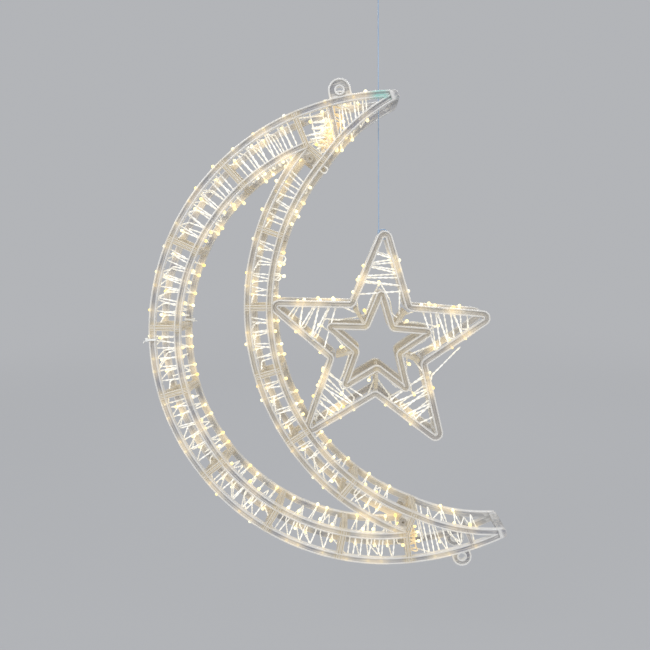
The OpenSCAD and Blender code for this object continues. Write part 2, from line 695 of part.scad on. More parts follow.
// Band round one rail, with its head outside the arm: out is 1 or -1
module rail_tie(c, r, a, z0, out) {
    g = tie_gap;
    translate([c[0], c[1], 0])
        rotate(a)
            translate([r, 0, 0]) {
                difference() {
                    translate([-g - tie_t, -tie_w / 2, z0 - g - tie_t])
                        cube([rail_w + 2 * g + 2 * tie_t, tie_w, rail_t + 2 * g + 2 * tie_t]);
                    translate([-g, -tie_w / 2 - over, z0 - g])
                        cube([rail_w + 2 * g, tie_w + 2 * over, rail_t + 2 * g]);
                }
                translate([out > 0 ? rail_w + g + tie_t / 2 : -g - tie_t / 2 - head_out, -head_len / 2, z0 + rail_t / 2])
                    cube([head_out, head_len, head_len]);
                translate([out > 0 ? rail_w + g + tie_t : -g - tie_t - tail_len, head_len / 2 - tie_t, z0 + rail_t / 2])
                    cube([tail_len, tie_t, tie_w]);
            }
}

// The whole stands upright, with the upper eyes' axis on the origin
module stand() {
    rotate([90, 0, 0])
        translate([-upper_eye[0], -upper_eye[1], 0])
            children();
}

module front() {
    stand() children();
}

module back() {
    stand() mirror([0, 0, 1]) children();
}

clear = [0.86, 0.88, 0.9, 0.55];
warm = [1, 0.86, 0.55];

module upper_horn_front() { color(clear) front() upper_horn_half(); }
module upper_horn_back() { color(clear) back() upper_horn_half(); }
module lower_horn_front() { color(clear) front() lower_horn_half(); }
module lower_horn_back() { color(clear) back() lower_horn_half(); }
module outer_front(k) { color(clear) front() outer_half(k - 1); }
module outer_back(k) { color(clear) back() outer_half(k - 1); }
module inner_front(k) { color(clear) front() inner_half(k - 1); }
module inner_back(k) { color(clear) back() inner_half(k - 1); }
module star_ring_front() { color(clear) front() star_ring_half(); }
module star_ring_back() { color(clear) back() star_ring_half(); }
module star_core_front() { color(clear) front() star_core_half(); }
module star_core_back() { color(clear) back() star_core_half(); }

module outer_string() {
    echo(outer_string_least_gap = least_gap(outer_path, wire_d));
    color("whitesmoke") stand() swept(outer_path, outer_ref, wire_d, 6);
}

module inner_string() {
    echo(inner_string_least_gap = least_gap(inner_path, wire_d));
    color("whitesmoke") stand() swept(inner_path, inner_ref, wire_d, 6);
}

module star_string() {
    echo(star_string_least_gap = least_gap(star_path, wire_d));
    color("whitesmoke") stand() swept(star_path, star_ref, wire_d, 6);
}

module outer_lamps() { color(warm) stand() lamps(outer_path, outer_dir); }
module inner_lamps() { color(warm) stand() lamps(inner_path, inner_dir); }

// The star's lamps sit on the outer layer only and point out square to its edge
module star_lamps() {
    base = wire_d / sqrt(2) + wire_gap;
    color(warm)
        stand()
            for (m = [0:star_points - 1], j = [0:lace_n - 1])
                if ((j + m) % 3 < 2) {
                    spot = point_path(m)[j];
                    left = j % 4 == 0 || j % 4 == 3;
                    dir = star_axis(m) + (left ? 90 - point_half : point_half - 90);
                    translate([spot[0] + base * cos(dir), spot[1] + base * sin(dir), spot[2]])
                        rotate([0, 90, dir])
                            lamp();
                }
}

module star_tie_upper() { color("white") stand() star_tie(seat_joint, 1); }
module star_tie_lower() { color("white") stand() star_tie(lower_seat_joint, 2); }

module rail_ties() {
    a = outer_at(tie_joint);
    d = in_at(a) + arc_deg(tie_d_at, in_r);
    color("white")
        stand() {
            rail_tie([0, 0], outer_r - rail_w, a + arc_deg(tie_a_at, outer_r), rail_back, 1);
            rail_tie(c1, in_r, d, -half_t, -1);
        }
}

// Route of the hanging line, from the star's upper post to its loop overhead
line_route = [[48.2, 0, -159.5], [47.5, 0, -100], [46.3, 0, 0], [45.1, 0, 112]];
line_rings = 80;
knot_d = 3.2;
knot_len = 4.4;
// Slack of the loop round the star's post, and the side to which it is pulled
loop_slack = 1.6;
pull_dir = 125;
line_len = [for (i = 0, s = 0; i < len(line_route); s = s + (i < len(line_route) - 1
    ? norm(line_route[i + 1] - line_route[i]) : 0), i = i + 1) s];
function line_at(s) = let (i = s >= line_len[2] ? 2 : s >= line_len[1] ? 1 : 0,
    t = (s - line_len[i]) / (line_len[i + 1] - line_len[i])) line_route[i] + t * (line_route[i + 1] - line_route[i]);
line_pts = [for (k = [0:line_rings - 1]) line_at(line_len[3] * k / (line_rings - 1))];

module hang_line() {
    color("lightsteelblue")
        swept(line_pts, [for (p = line_pts) [0, 1, 0]], line_d, 8);
}

// Loop of line round the post at the star's top, with the knot beside it
module hang_knot() {
    ring = star_post(0) - upper_eye + loop_slack * u(pull_dir);
    foot = line_route[0];
    color("lightsteelblue") {
        translate([ring[0], 0, ring[1]])
            rotate([90, 0, 0])
                rotate_extrude($fn = round_fn)
                    translate([post_d / 2 + tie_gap + line_d / 2 + loop_slack, 0])
                        circle(d = line_d, $fn = 16);
        translate([foot[0], 0, foot[2] - knot_len])
            cylinder(h = knot_len, d = knot_d, $fn = 24);
    }
}

// Knot and loop at the line's upper end
module hang_loop() {
    top = line_route[3];
    color("lightsteelblue") {
        translate(top)
            cylinder(h = knot_len, d = knot_d, $fn = 24);
        translate([top[0], 0, top[2] + knot_len + loop_r])
            rotate([90, 0, 0])
                rotate_extrude($fn = round_fn)
                    translate([loop_r, 0])
                        circle(d = line_d, $fn = 16);
    }
}

upper_horn_front();
upper_horn_back();
lower_horn_front();
lower_horn_back();
outer_front(1);  // outer_1_front
outer_front(2);  // outer_2_front
outer_front(3);  // outer_3_front
outer_front(4);  // outer_4_front
outer_front(5);  // outer_5_front
outer_front(6);  // outer_6_front
outer_front(7);  // outer_7_front
outer_front(8);  // outer_8_front
outer_back(1);  // outer_1_back
outer_back(2);  // outer_2_back
outer_back(3);  // outer_3_back
outer_back(4);  // outer_4_back
outer_back(5);  // outer_5_back
outer_back(6);  // outer_6_back
outer_back(7);  // outer_7_back
outer_back(8);  // outer_8_back
inner_front(1);  // inner_1_front
inner_front(2);  // inner_2_front
inner_front(3);  // inner_3_front
inner_front(4);  // inner_4_front
inner_front(5);  // inner_5_front
inner_front(6);  // inner_6_front
inner_back(1);  // inner_1_back
inner_back(2);  // inner_2_back
inner_back(3);  // inner_3_back
inner_back(4);  // inner_4_back
inner_back(5);  // inner_5_back
inner_back(6);  // inner_6_back
star_ring_front();
star_ring_back();
star_core_front();
star_core_back();
outer_string();
inner_string();
star_string();
outer_lamps();
inner_lamps();
star_lamps();
star_tie_upper();
star_tie_lower();
rail_ties();
hang_knot();
hang_line();
hang_loop();
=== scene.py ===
# %% [markdown]
# # A lighted crescent with a star
# The real ornament is a crescent of clear moulded frames. Strings of small warm
# lamps are laced round and round inside it, and a laced star is tied in its
# hollow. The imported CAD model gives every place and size. This lesson dresses it:
# rounded mouldings, twisted leads, glowing lamps, ties and the hanging line.

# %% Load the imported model
import cmath
import math

import bmesh
import bpy
import numpy as np
from mathutils import Matrix, Vector


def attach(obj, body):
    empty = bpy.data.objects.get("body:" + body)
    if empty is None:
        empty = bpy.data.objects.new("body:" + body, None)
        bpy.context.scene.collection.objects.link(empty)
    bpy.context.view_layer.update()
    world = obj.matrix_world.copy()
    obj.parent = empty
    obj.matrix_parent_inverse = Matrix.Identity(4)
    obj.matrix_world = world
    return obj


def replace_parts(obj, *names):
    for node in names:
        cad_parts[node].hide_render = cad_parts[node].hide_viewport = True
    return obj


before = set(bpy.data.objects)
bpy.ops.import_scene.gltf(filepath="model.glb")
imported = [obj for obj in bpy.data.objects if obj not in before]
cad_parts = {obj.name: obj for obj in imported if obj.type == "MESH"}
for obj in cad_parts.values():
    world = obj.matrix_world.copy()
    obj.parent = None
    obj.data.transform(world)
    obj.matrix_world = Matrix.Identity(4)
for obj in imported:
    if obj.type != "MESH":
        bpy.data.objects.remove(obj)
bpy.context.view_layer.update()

# %% [markdown]
# The perspective of the photograph puts the viewer 0.83 m in front of the
# frame's mid depth, a little above the crescent's middle, and looking slightly
# down.

# %% Camera at the photograph's place
MM = 0.001
CAMERA_PLACE = Vector((13.36, -826.2, -197.57)) * MM
CAMERA_PAN, CAMERA_TILT, CAMERA_ROLL = -2.14, -5.5, 0.09
CAMERA_LENS = 36.886


def link_object(name, data):
    made = bpy.data.objects.new(name, data)
    bpy.context.scene.collection.objects.link(made)
    return made


camera_data = bpy.data.cameras.new("photo_camera")
camera_data.lens = CAMERA_LENS
camera_data.clip_start = 0.01
camera = link_object("photo_camera", camera_data)
pan, tilt = math.radians(CAMERA_PAN), math.radians(CAMERA_TILT)
forward = Vector((math.sin(pan) * math.cos(tilt), math.cos(pan) * math.cos(tilt), math.sin(tilt)))
camera.location = CAMERA_PLACE
camera.rotation_mode = "QUATERNION"
roll = Matrix.Rotation(math.radians(CAMERA_ROLL), 4, "Z").to_quaternion()
camera.rotation_quaternion = forward.to_track_quat("-Z", "Y") @ roll
bpy.context.scene.camera = camera
print("camera looks along", tuple(round(x, 3) for x in forward))

# %% [markdown]
# Most finishes here share a few steps: a shader, a noise, a ramp between two
# values. Small helpers keep each material short, so that a reader sees what
# varies and why.

# %% Helpers for materials
def new_material(name):
    material = bpy.data.materials.new(name)
    material.use_nodes = True
    tree = material.node_tree
    return material, tree, tree.nodes["Principled BSDF"]


def node(tree, kind, **values):
    made = tree.nodes.new(kind)
    for key, value in values.items():
        if key in made.inputs:
            made.inputs[key].default_value = value
        else:
            setattr(made, key, value)
    return made


def noise(tree, scale, detail=3.0, stretch=(1.0, 1.0, 1.0)):
    place = node(tree, "ShaderNodeTexCoord")
    mapping = node(tree, "ShaderNodeMapping", Scale=stretch)
    texture = node(tree, "ShaderNodeTexNoise", Scale=scale, Detail=detail)
    tree.links.new(place.outputs["Object"], mapping.inputs["Vector"])
    tree.links.new(mapping.outputs["Vector"], texture.inputs["Vector"])
    return texture.outputs["Fac"]


def span(tree, value, low_in, high_in, low_out, high_out):
    ranged = node(tree, "ShaderNodeMapRange")
    labels = ("From Min", "From Max", "To Min", "To Max")
    for key, number in zip(labels, (low_in, high_in, low_out, high_out)):
        ranged.inputs[key].default_value = number
    tree.links.new(value, ranged.inputs["Value"])
    return ranged.outputs["Result"]


def mix_colours(tree, share, first, second):
    mix = node(tree, "ShaderNodeMix", data_type="RGBA")
    for socket, value in ((mix.inputs[6], first), (mix.inputs[7], second)):
        if isinstance(value, tuple):
            socket.default_value = (*value, 1.0)
        else:
            tree.links.new(value, socket)
    tree.links.new(share, mix.inputs[0])
    return mix.outputs[2]


def multiply(tree, first, second):
    product = node(tree, "ShaderNodeMath", operation="MULTIPLY")
    tree.links.new(first, product.inputs[0])
    if isinstance(second, float):
        product.inputs[1].default_value = second
    else:
        tree.links.new(second, product.inputs[1])
    return product.outputs[0]


def bump(tree, shader, height, distance, strength=1.0):
    made = node(tree, "ShaderNodeBump", Distance=distance, Strength=strength)
    tree.links.new(height, made.inputs["Height"])
    tree.links.new(made.outputs["Normal"], shader.inputs["Normal"])


def attribute(tree, name):
    return node(tree, "ShaderNodeAttribute", attribute_name=name).outputs["Fac"]


print("material helpers ready")

# %% [markdown]
# ## The hanging line
# A single thin line holds the star up. On the real ornament it is a clear
# fishing line with a bluish shine, pulled straight by the weight.

# %% Finish of the line
def line_finish():
    material, tree, shader = new_material("clear_line")
    streaks = noise(tree, 900.0, 2.0, (1.0, 1.0, 0.05))
    colour = mix_colours(tree, streaks, (0.16, 0.29, 0.48), (0.44, 0.58, 0.76))
    tree.links.new(colour, shader.inputs["Base Color"])
    tree.links.new(span(tree, streaks, 0.3, 0.7, 0.12, 0.3), shader.inputs["Roughness"])
    shader.inputs["IOR"].default_value = 1.5
    bump(tree, shader, streaks, 0.0002, 0.3)
    return material


LINE_MATERIAL = line_finish()
print(LINE_MATERIAL.name)

# %% Route of the line
LINE_ROUTE = [(48.2, 0.0, -159.5), (47.5, 0.0, -100.0), (46.3, 0.0, 0.0), (45.1, 0.0, 112.0)]
LINE_POINTS = 24
LINE_D = 1.2
line_places = [Vector(p) * MM for p in LINE_ROUTE]
line_length = sum((b - a).length for a, b in zip(line_places, line_places[1:]))


def along_route(share):
    left = share * line_length
    for a, b in zip(line_places, line_places[1:]):
        step = (b - a).length
        if left <= step + 1e-9:
            return a.lerp(b, left / step)
        left -= step
    return line_places[-1]


def poly_curve(name, places):
    data = bpy.data.curves.new(name, "CURVE")
    data.dimensions = "3D"
    spline = data.splines.new("POLY")
    spline.points.add(len(places) - 1)
    for point, place in zip(spline.points, places):
        point.co = (*place, 1.0)
    return data


line_curve = poly_curve("hanging_line", [along_route(k / (LINE_POINTS - 1)) for k in range(LINE_POINTS)])
line_curve.bevel_depth = LINE_D / 2 * MM
line_curve.bevel_resolution = 3
line_curve.use_fill_caps = True
line_curve.materials.append(LINE_MATERIAL)
line = link_object("hanging_line", line_curve)
print("line length in metres:", round(line_length, 4))

# %% [markdown]
# ## Sizes
# These are the sizes of the model's own source, in millimetres. They are worked
# out in a flat drawing of the face: x to the right, y up, and z towards the
# viewer, with the middle of the frame's depth at z = 0. Complex numbers stand for
# places in that drawing, because turning and crossing circles is short in them.

# %% Sizes of the crescent
OUTER_R, CRESCENT_W, HOLLOW_LESS, OPEN_ANGLE = 284.5, 155.3, 19.5, 13.6
OUTER_ARM_W, INNER_ARM_W = 43.9, 35.0
TAPER_SHIFT, TAPER_ANGLE = 6.0, 219.0
HALF_T, RAIL_W, RAIL_T = 32.0, 8.4, 7.0
CHANNEL_W, CHANNEL_D, STEP_IN = 4.4, 2.4, 0.4
END_T, SEAM = 3.5, 0.3
PLATE_LEN, BOSS_D, BOSS_H, SCREW_D = 14.0, 9.0, 12.0, 3.0
OUTER_SHARES = [0, 0.127, 0.264, 0.4, 0.507, 0.646, 0.771, 0.892, 1]
INNER_SHARES = [0, 0.197, 0.366, 0.515, 0.674, 0.837, 1]

HOLLOW_R = OUTER_R - HOLLOW_LESS
IN_R = OUTER_R - OUTER_ARM_W
FAR_R = HOLLOW_R + INNER_ARM_W
RAIL_MID = RAIL_W / 2
RAIL_BACK = HALF_T - RAIL_T
BAR_BACK = RAIL_BACK + STEP_IN
BAR_T = RAIL_T - 2 * STEP_IN
BAR_TOP = BAR_BACK + BAR_T
POST_IN = RAIL_W - 2 * SEAM
SUNK = HALF_T - CHANNEL_D - STEP_IN
POST_TOP = RAIL_BACK + RAIL_T / 2
print("hollow radius", HOLLOW_R, "rails from", RAIL_BACK, "to", HALF_T, "before mid depth")


# %% Places in the flat drawing
def unit(degrees):
    return cmath.rect(1.0, math.radians(degrees))


def direction(p):
    return math.degrees(cmath.phase(p))


def turn_up(degrees):
    return degrees + 360 if degrees < 0 else degrees


def arc_degrees(length, radius):
    return math.degrees(length / radius)


def circles_meet(p, rp, q, rq, side):
    d = abs(q - p)
    half = math.degrees(math.acos((rp * rp + d * d - rq * rq) / (2 * rp * d)))
    return p + rp * unit(direction(q - p) + side * half)


def leaves_circle(p, degrees, q, rq):
    w, u = q - p, unit(degrees)
    b = w.real * u.real + w.imag * u.imag
    return b + math.sqrt(rq * rq - abs(w) ** 2 + b * b)


ORIGIN = 0j
C2 = (CRESCENT_W - HOLLOW_LESS) * unit(OPEN_ANGLE)
C1 = TAPER_SHIFT * unit(TAPER_ANGLE)
join_up = circles_meet(C1, IN_R + RAIL_MID, C2, FAR_R - RAIL_MID, 1)
join_low = circles_meet(C1, IN_R + RAIL_MID, C2, FAR_R - RAIL_MID, -1)
A_UP, A_LOW = direction(join_up), turn_up(direction(join_low))
B_UP, B_LOW = direction(join_up - C2), turn_up(direction(join_low - C2))
OUTER_AT = [A_UP + s * (A_LOW - A_UP) for s in OUTER_SHARES]
INNER_AT = [B_UP + s * (B_LOW - B_UP) for s in INNER_SHARES]
print("arms join at", round(A_UP, 2), "and", round(A_LOW, 2), "degrees")


def outer_in(a):
    return leaves_circle(ORIGIN, a, C1, IN_R)


def outer_mid(a):
    return leaves_circle(ORIGIN, a, C1, IN_R + RAIL_MID)


def in_at(a):
    return turn_up(direction(outer_mid(a) * unit(a) - C1))


# %% [markdown]
# A horn is drawn by two arcs: its outer edge leaves the crescent's circle at a
# tangent and is flatter, and its inner edge bulges between the horn's tip and
# the joint of the arms. Each horn carries a hanging eye and a strut.

# %% Sizes and places of the horns and eyes
UPPER_BACK_R, LOWER_BACK_R = OUTER_R + 35.5, OUTER_R + 69.5
UPPER_END_H, LOWER_END_H = 16.9, 13.4
UPPER_END_W, LOWER_END_W = 9.7, 9.9
UPPER_RISE, LOWER_RISE = 7.4, 7.2
END_ROUND, END_INSET, END_POST_LEN, STRUT_W = 3.0, 1.2, 9.0, 5.5
UPPER_END_DIR, LOWER_END_DIR = -65.6, 107.7
EYE_HOLE_D, EYE_RIM_W = 8.0, 2.2
UPPER_LUG_R, UPPER_EYE_OUT = 13.4, 7.1
LOWER_LUG_R, LOWER_EYE_OUT = 11.8, 4.5

UPPER_EYE_AT = A_UP - arc_degrees(58.18, OUTER_R)
UPPER_STRUT_AT = A_UP - arc_degrees(43.78, OUTER_R)
LOWER_EYE_AT = A_LOW + arc_degrees(63.94, OUTER_R)
LOWER_STRUT_AT = A_LOW + arc_degrees(81.32, OUTER_R)
UPPER_LAST_AT = A_UP - arc_degrees(88.47, OUTER_R)
LOWER_LAST_AT = A_LOW + arc_degrees(96.21, OUTER_R)

UP_BACK = (OUTER_R - UPPER_BACK_R) * unit(A_UP)
LOW_BACK = (OUTER_R - LOWER_BACK_R) * unit(A_LOW)


def edge_r(a):
    if a < A_UP:
        return leaves_circle(ORIGIN, a, UP_BACK, UPPER_BACK_R)
    if a > A_LOW:
        return leaves_circle(ORIGIN, a, LOW_BACK, LOWER_BACK_R)
    return OUTER_R


def bulging_arc(p, q, rise):
    half = abs(q - p) / 2
    radius = (half * half + rise * rise) / (2 * rise)
    return (p + q) / 2 + (radius - rise) * unit(direction(q - p) - 90), radius


UP_END = circles_meet(UP_BACK, UPPER_BACK_R, C2, HOLLOW_R + UPPER_END_H, 1)
UP_TIP = UP_END + UPPER_END_W * unit(UPPER_END_DIR)
UP_FOOT = C2 + HOLLOW_R * unit(B_UP)
LOW_END = circles_meet(LOW_BACK, LOWER_BACK_R, C2, HOLLOW_R + LOWER_END_H, -1)
LOW_TIP = LOW_END + LOWER_END_W * unit(LOWER_END_DIR)
LOW_FOOT = C2 + HOLLOW_R * unit(B_LOW)
UP_C, UP_R = bulging_arc(UP_FOOT, UP_TIP, UPPER_RISE)
LOW_C, LOW_R = bulging_arc(LOW_TIP, LOW_FOOT, LOWER_RISE)
UPPER_EYE = (edge_r(UPPER_EYE_AT) + UPPER_EYE_OUT) * unit(UPPER_EYE_AT)
LOWER_EYE = (edge_r(LOWER_EYE_AT) + LOWER_EYE_OUT) * unit(LOWER_EYE_AT)
print("upper eye", UPPER_EYE, "lower eye from it", LOWER_EYE - UPPER_EYE)

# %% Sizes and places of the star
STAR_CORNER_R, STAR_VALLEY_R, STAR_ROUND, STAR_TURN = 156.0, 63.5, 9.5, -2.8
CORE_CORNER_R, CORE_ROUND = 78.0, 6.0
WEB_T, WEB_WINDOW, POST_D = 4.0, 6.0, 7.0
SEAT_BITE, LOWER_SEAT_BITE, SEAT_GAP = 1.2, 4.7, 0.2
STAR_POINTS = 5
POINT_STEP = 360 / STAR_POINTS
VALLEY_STEP = POINT_STEP / 2


def sine(degrees):
    return math.sin(math.radians(degrees))


def star_axis(m):
    return 90 + STAR_TURN + POINT_STEP * m


valley_reach = STAR_VALLEY_R * unit(VALLEY_STEP)
POINT_HALF = math.degrees(math.atan2(valley_reach.imag, STAR_CORNER_R - valley_reach.real))
VALLEY_HALF = 180 - VALLEY_STEP - POINT_HALF
CORE_VALLEY_R = CORE_CORNER_R * STAR_VALLEY_R / STAR_CORNER_R
STAR_TIP_R = STAR_CORNER_R - STAR_ROUND * (1 / sine(POINT_HALF) - 1)
LANE_R = STAR_CORNER_R - RAIL_MID / sine(POINT_HALF)
STAR_C = circles_meet(C2 - STAR_TIP_R * unit(star_axis(1)), HOLLOW_R + SEAT_BITE,
                      C2 - STAR_TIP_R * unit(star_axis(2)), HOLLOW_R + LOWER_SEAT_BITE, 1)


def post_r(m):
    free = STAR_TIP_R - POST_D / 2 - EYE_RIM_W / 2
    return min(free, leaves_circle(STAR_C, star_axis(m), C2, HOLLOW_R - SEAT_GAP - POST_D / 2 - SEAM))


def star_post(m):
    return STAR_C + post_r(m) * unit(star_axis(m))


print("star centre from the eye:", STAR_C - UPPER_EYE)

# %% [markdown]
# ## Where the strings run
# Each string is laced round the frame: across the front from the outer rail to
# the inner one, back through the depth, across the back and forward again. It
# moves along a little on each face and more on the sides, so the strands on the
# faces lie nearly square to the rails. One loop works that out for any stretch.

# %% Stations of the lacing
WIRE_D, TURN_PITCH, TURN_MARGIN, STAR_PITCH = 1.3, 15.0, 10.0, 19.0
LAMP_D, LAMP_LEN, SLACK_OUT = 3.2, 5.6, 9.0
LAMP_GAP, WIRE_GAP, LAYER_GAP = 0.3, 0.15, 2.0
LACE_FROM_SHARE, LACE_TO_SHARE = 0.39, 0.74
SLACK_SHARES = [0.255, 0.292]
STRING_Z = RAIL_BACK - LAMP_GAP - LAMP_D / 2
CORNERS, SQUARER = 4, 0.28


def turns_in(degrees, radius):
    return max(1, math.floor(degrees / arc_degrees(TURN_PITCH, radius) + 0.5))


def lace(start, end, turns):
    last = CORNERS * turns - 1
    stations = []
    for j in range(CORNERS * turns):
        corner = j % CORNERS
        z = STRING_Z if corner < 2 else -STRING_Z
        along = j + (SQUARER if corner in (0, 2) else -SQUARER)
        stations.append((start + (end - start) * along / last, corner in (0, 3), z))
    return stations


up_first = direction(UP_FOOT) - arc_degrees(TURN_MARGIN, abs(UP_FOOT))
low_first = turn_up(direction(LOW_FOOT)) + arc_degrees(TURN_MARGIN, abs(LOW_FOOT))
outer_margin = arc_degrees(TURN_MARGIN, OUTER_R)
outer_spans = [(UPPER_LAST_AT, up_first)]
outer_spans += [(a + outer_margin, b - outer_margin) for a, b in zip(OUTER_AT, OUTER_AT[1:])]
outer_spans += [(low_first, LOWER_LAST_AT)]

CLEAR_R = LAMP_LEN / 2 + WIRE_D
clear_up = direction(circles_meet(C1, IN_R - CLEAR_R, C2, FAR_R + CLEAR_R, 1) - C2)
clear_low = turn_up(direction(circles_meet(C1, IN_R - CLEAR_R, C2, FAR_R + CLEAR_R, -1) - C2))
plate_turn = arc_degrees(PLATE_LEN + LAMP_D, HOLLOW_R)
inner_margin = arc_degrees(TURN_MARGIN, HOLLOW_R)
inner_spans = [[a + inner_margin, b - inner_margin] for a, b in zip(INNER_AT, INNER_AT[1:])]
inner_spans[0][0] = max(clear_up, B_UP + plate_turn)
inner_spans[-1][1] = min(clear_low, B_LOW - plate_turn)
print("stretches laced:", len(outer_spans), "outer and", len(inner_spans), "inner")


# %% Paths of the outer and inner strings
def outer_lane(a, out):
    if out:
        return edge_r(a) - RAIL_MID
    if a < A_UP:
        return leaves_circle(ORIGIN, a, UP_C, UP_R + RAIL_MID)
    if a > A_LOW:
        return leaves_circle(ORIGIN, a, LOW_C, LOW_R + RAIL_MID)
    return outer_mid(a)


def slack_at(a):
    near = arc_degrees(TURN_PITCH / 7, HOLLOW_R)
    return SLACK_OUT if any(abs(a - B_UP - s * (B_LOW - B_UP)) < near for s in SLACK_SHARES) else 0.0


outer_path, outer_out = [], []
for start, end in outer_spans:
    for a, out, z in lace(start, end, turns_in(end - start, OUTER_R)):
        outer_path.append((outer_lane(a, out) * unit(a), z))
        outer_out.append(unit(a) if out else -unit(a))

inner_path, inner_out = [], []
for start, end in inner_spans:
    for a, out, z in lace(start, end, turns_in(end - start, HOLLOW_R)):
        lane = FAR_R - RAIL_MID if out else HOLLOW_R + RAIL_MID - slack_at(a)
        inner_path.append((C2 + lane * unit(a), z))
        inner_out.append(unit(a) if out else -unit(a))
print("corners:", len(outer_path), "outer and", len(inner_path), "inner")

# %% Path of the star's string
LACE_TURNS = max(1, math.floor((LACE_TO_SHARE - LACE_FROM_SHARE) * STAR_CORNER_R / STAR_PITCH + 0.5))
LACE_N = CORNERS * LACE_TURNS
POINT_ORDER = [1, 0, 4, 3, 2]


def point_spot(m, rho, j, layer):
    left, z = j % CORNERS in (0, 3), 1 if j % CORNERS < 2 else -1
    width = (LANE_R - rho) * math.tan(math.radians(POINT_HALF)) - layer * LAYER_GAP
    side = unit(star_axis(m) + 90) * (width if left else -width)
    return STAR_C + rho * unit(star_axis(m)) + side, z * (STRING_Z - layer * LAYER_GAP)


def point_path(m):
    step = (LACE_TO_SHARE - LACE_FROM_SHARE) * STAR_CORNER_R / LACE_N
    start, end = LACE_FROM_SHARE * STAR_CORNER_R, LACE_TO_SHARE * STAR_CORNER_R
    out = [point_spot(m, start + step * j, j, 0) for j in range(LACE_N)]
    back = [point_spot(m, end - step * (j + 0.5), j, 1) for j in range(LACE_N - 1)]
    return out + back


star_path = []
for i, m in enumerate(POINT_ORDER):
    star_path += point_path(m)
    if i < STAR_POINTS - 1:
        reach = (STAR_VALLEY_R - RAIL_W / sine(VALLEY_HALF) + CORE_VALLEY_R) / 2
        star_path.append((STAR_C + reach * unit(star_axis(m) - VALLEY_STEP), 0.0))
print("corners of the star's string:", len(star_path))


# %% [markdown]
# A machine laces evenly, but these strings were pulled round by hand, so the
# strands lean one way and the other. Each corner is moved a little, with a fixed
# seed, and stays near its rail.

# %% Strands that lean
LEAN, LEAN_MOST, STAR_LEAN_MOST = 1.3, 2.6, 1.2
rng = np.random.default_rng(11)


def leaning(path, bound=LEAN_MOST):
    moved = []
    for i, (p, z) in enumerate(path):
        before, after = path[max(0, i - 1)][0], path[min(len(path) - 1, i + 1)][0]
        shift = complex(*np.clip(rng.normal(0.0, LEAN, 2), -bound, bound))
        shift *= 0.0 if abs(z) < 1 else 1.0
        moved.append((p + shift * (0.6 if abs(after - before) < 1 else 1.0), z))
    return moved


outer_path, inner_path = leaning(outer_path), leaning(inner_path)
star_path = leaning(star_path, STAR_LEAN_MOST)
print("corners moved by up to", LEAN_MOST, "mm")

# %% Places of the lamps: a foot and a direction each, in the flat drawing
def near_eye(p):
    return min(abs(p - UPPER_EYE), abs(p - LOWER_EYE)) < EYE_HOLE_D / 2 + LAMP_LEN + WIRE_D


LAMP_BASE = WIRE_D / math.sqrt(2) + WIRE_GAP
LAMP_CYCLE, LAMPS_IN_CYCLE = 3, 2


def lamp_at(p, z, out):
    return (p.real, p.imag, z), (out.real, out.imag, 0.0)


def corner_lamps(path, outs):
    return [lamp_at(p, z, out) for i, ((p, z), out) in enumerate(zip(path, outs))
            if i % LAMP_CYCLE < LAMPS_IN_CYCLE and not near_eye(p)]


def star_lamps():
    lamps = []
    for m in range(STAR_POINTS):
        spots = point_path(m)
        for i in range(len(spots)):
            j = i if i < LACE_N else i - LACE_N
            in_cycle = (j + m) % LAMP_CYCLE < LAMPS_IN_CYCLE
            if in_cycle == (i < LACE_N):
                p, z = spots[i]
                left = j % CORNERS in (0, 3)
                out = unit(star_axis(m) + (90 - POINT_HALF if left else POINT_HALF - 90))
                lamps.append(lamp_at(p, z, out))
    return lamps


LAMPS = {
    "outer": corner_lamps(outer_path, outer_out),
    "inner": corner_lamps(inner_path, inner_out),
    "star": star_lamps(),
}
print("lamps:", {k: len(v) for k, v in LAMPS.items()})

# %% [markdown]
# ## From the drawing to the model
# The drawing is stood up by one quarter turn, and its origin moves to the upper
# eye. Every mesh is built in the drawing and passed through this one function, so
# that all of them land where the CAD nodes are.

# %% Standing the drawing up
def stand(points):
    p = np.asarray(points, float).reshape(-1, 3)
    return np.column_stack([p[:, 0] - UPPER_EYE.real, -p[:, 2], p[:, 1] - UPPER_EYE.imag]) * MM


def link_mesh(name, points, edges=(), faces=()):
    mesh = bpy.data.meshes.new(name)
    mesh.from_pydata([tuple(p) for p in points], list(edges), [list(f) for f in faces])
    mesh.update()
    return link_object(name, mesh)


def discard(*objects):
    for made in objects:
        data = made.data
        bpy.data.objects.remove(made)
        if isinstance(data, bpy.types.Mesh):
            bpy.data.meshes.remove(data)
        else:
            bpy.data.curves.remove(data)


def baked_copy(made, name):
    graph = bpy.context.evaluated_depsgraph_get()
    graph.update()
    mesh = bpy.data.meshes.new_from_object(made.evaluated_get(graph))
    mesh.name = name
    return link_object(name, mesh)


print("eye in the drawing:", UPPER_EYE)

# %% [markdown]
# ## Glow
# The lamps light up the clear plastic near them. Lighting that with hundreds of
# small lamps would be slow and noisy, so each point of a mesh gets a number that
# says how near the lamps are, and the finishes read it as an attribute.

# %% Nearness to the lamps
GLOW_REACH, GLOW_MOST, GLOW_AT, BATCH = 7.5 * MM, 1.6, 0.6, 20000
lamp_centres = []
for lamps in LAMPS.values():
    for foot, out in lamps:
        lamp_centres.append(np.array(foot) + (LAMP_BASE + LAMP_LEN * GLOW_AT) * np.array(out))
lamp_centres = stand(lamp_centres)


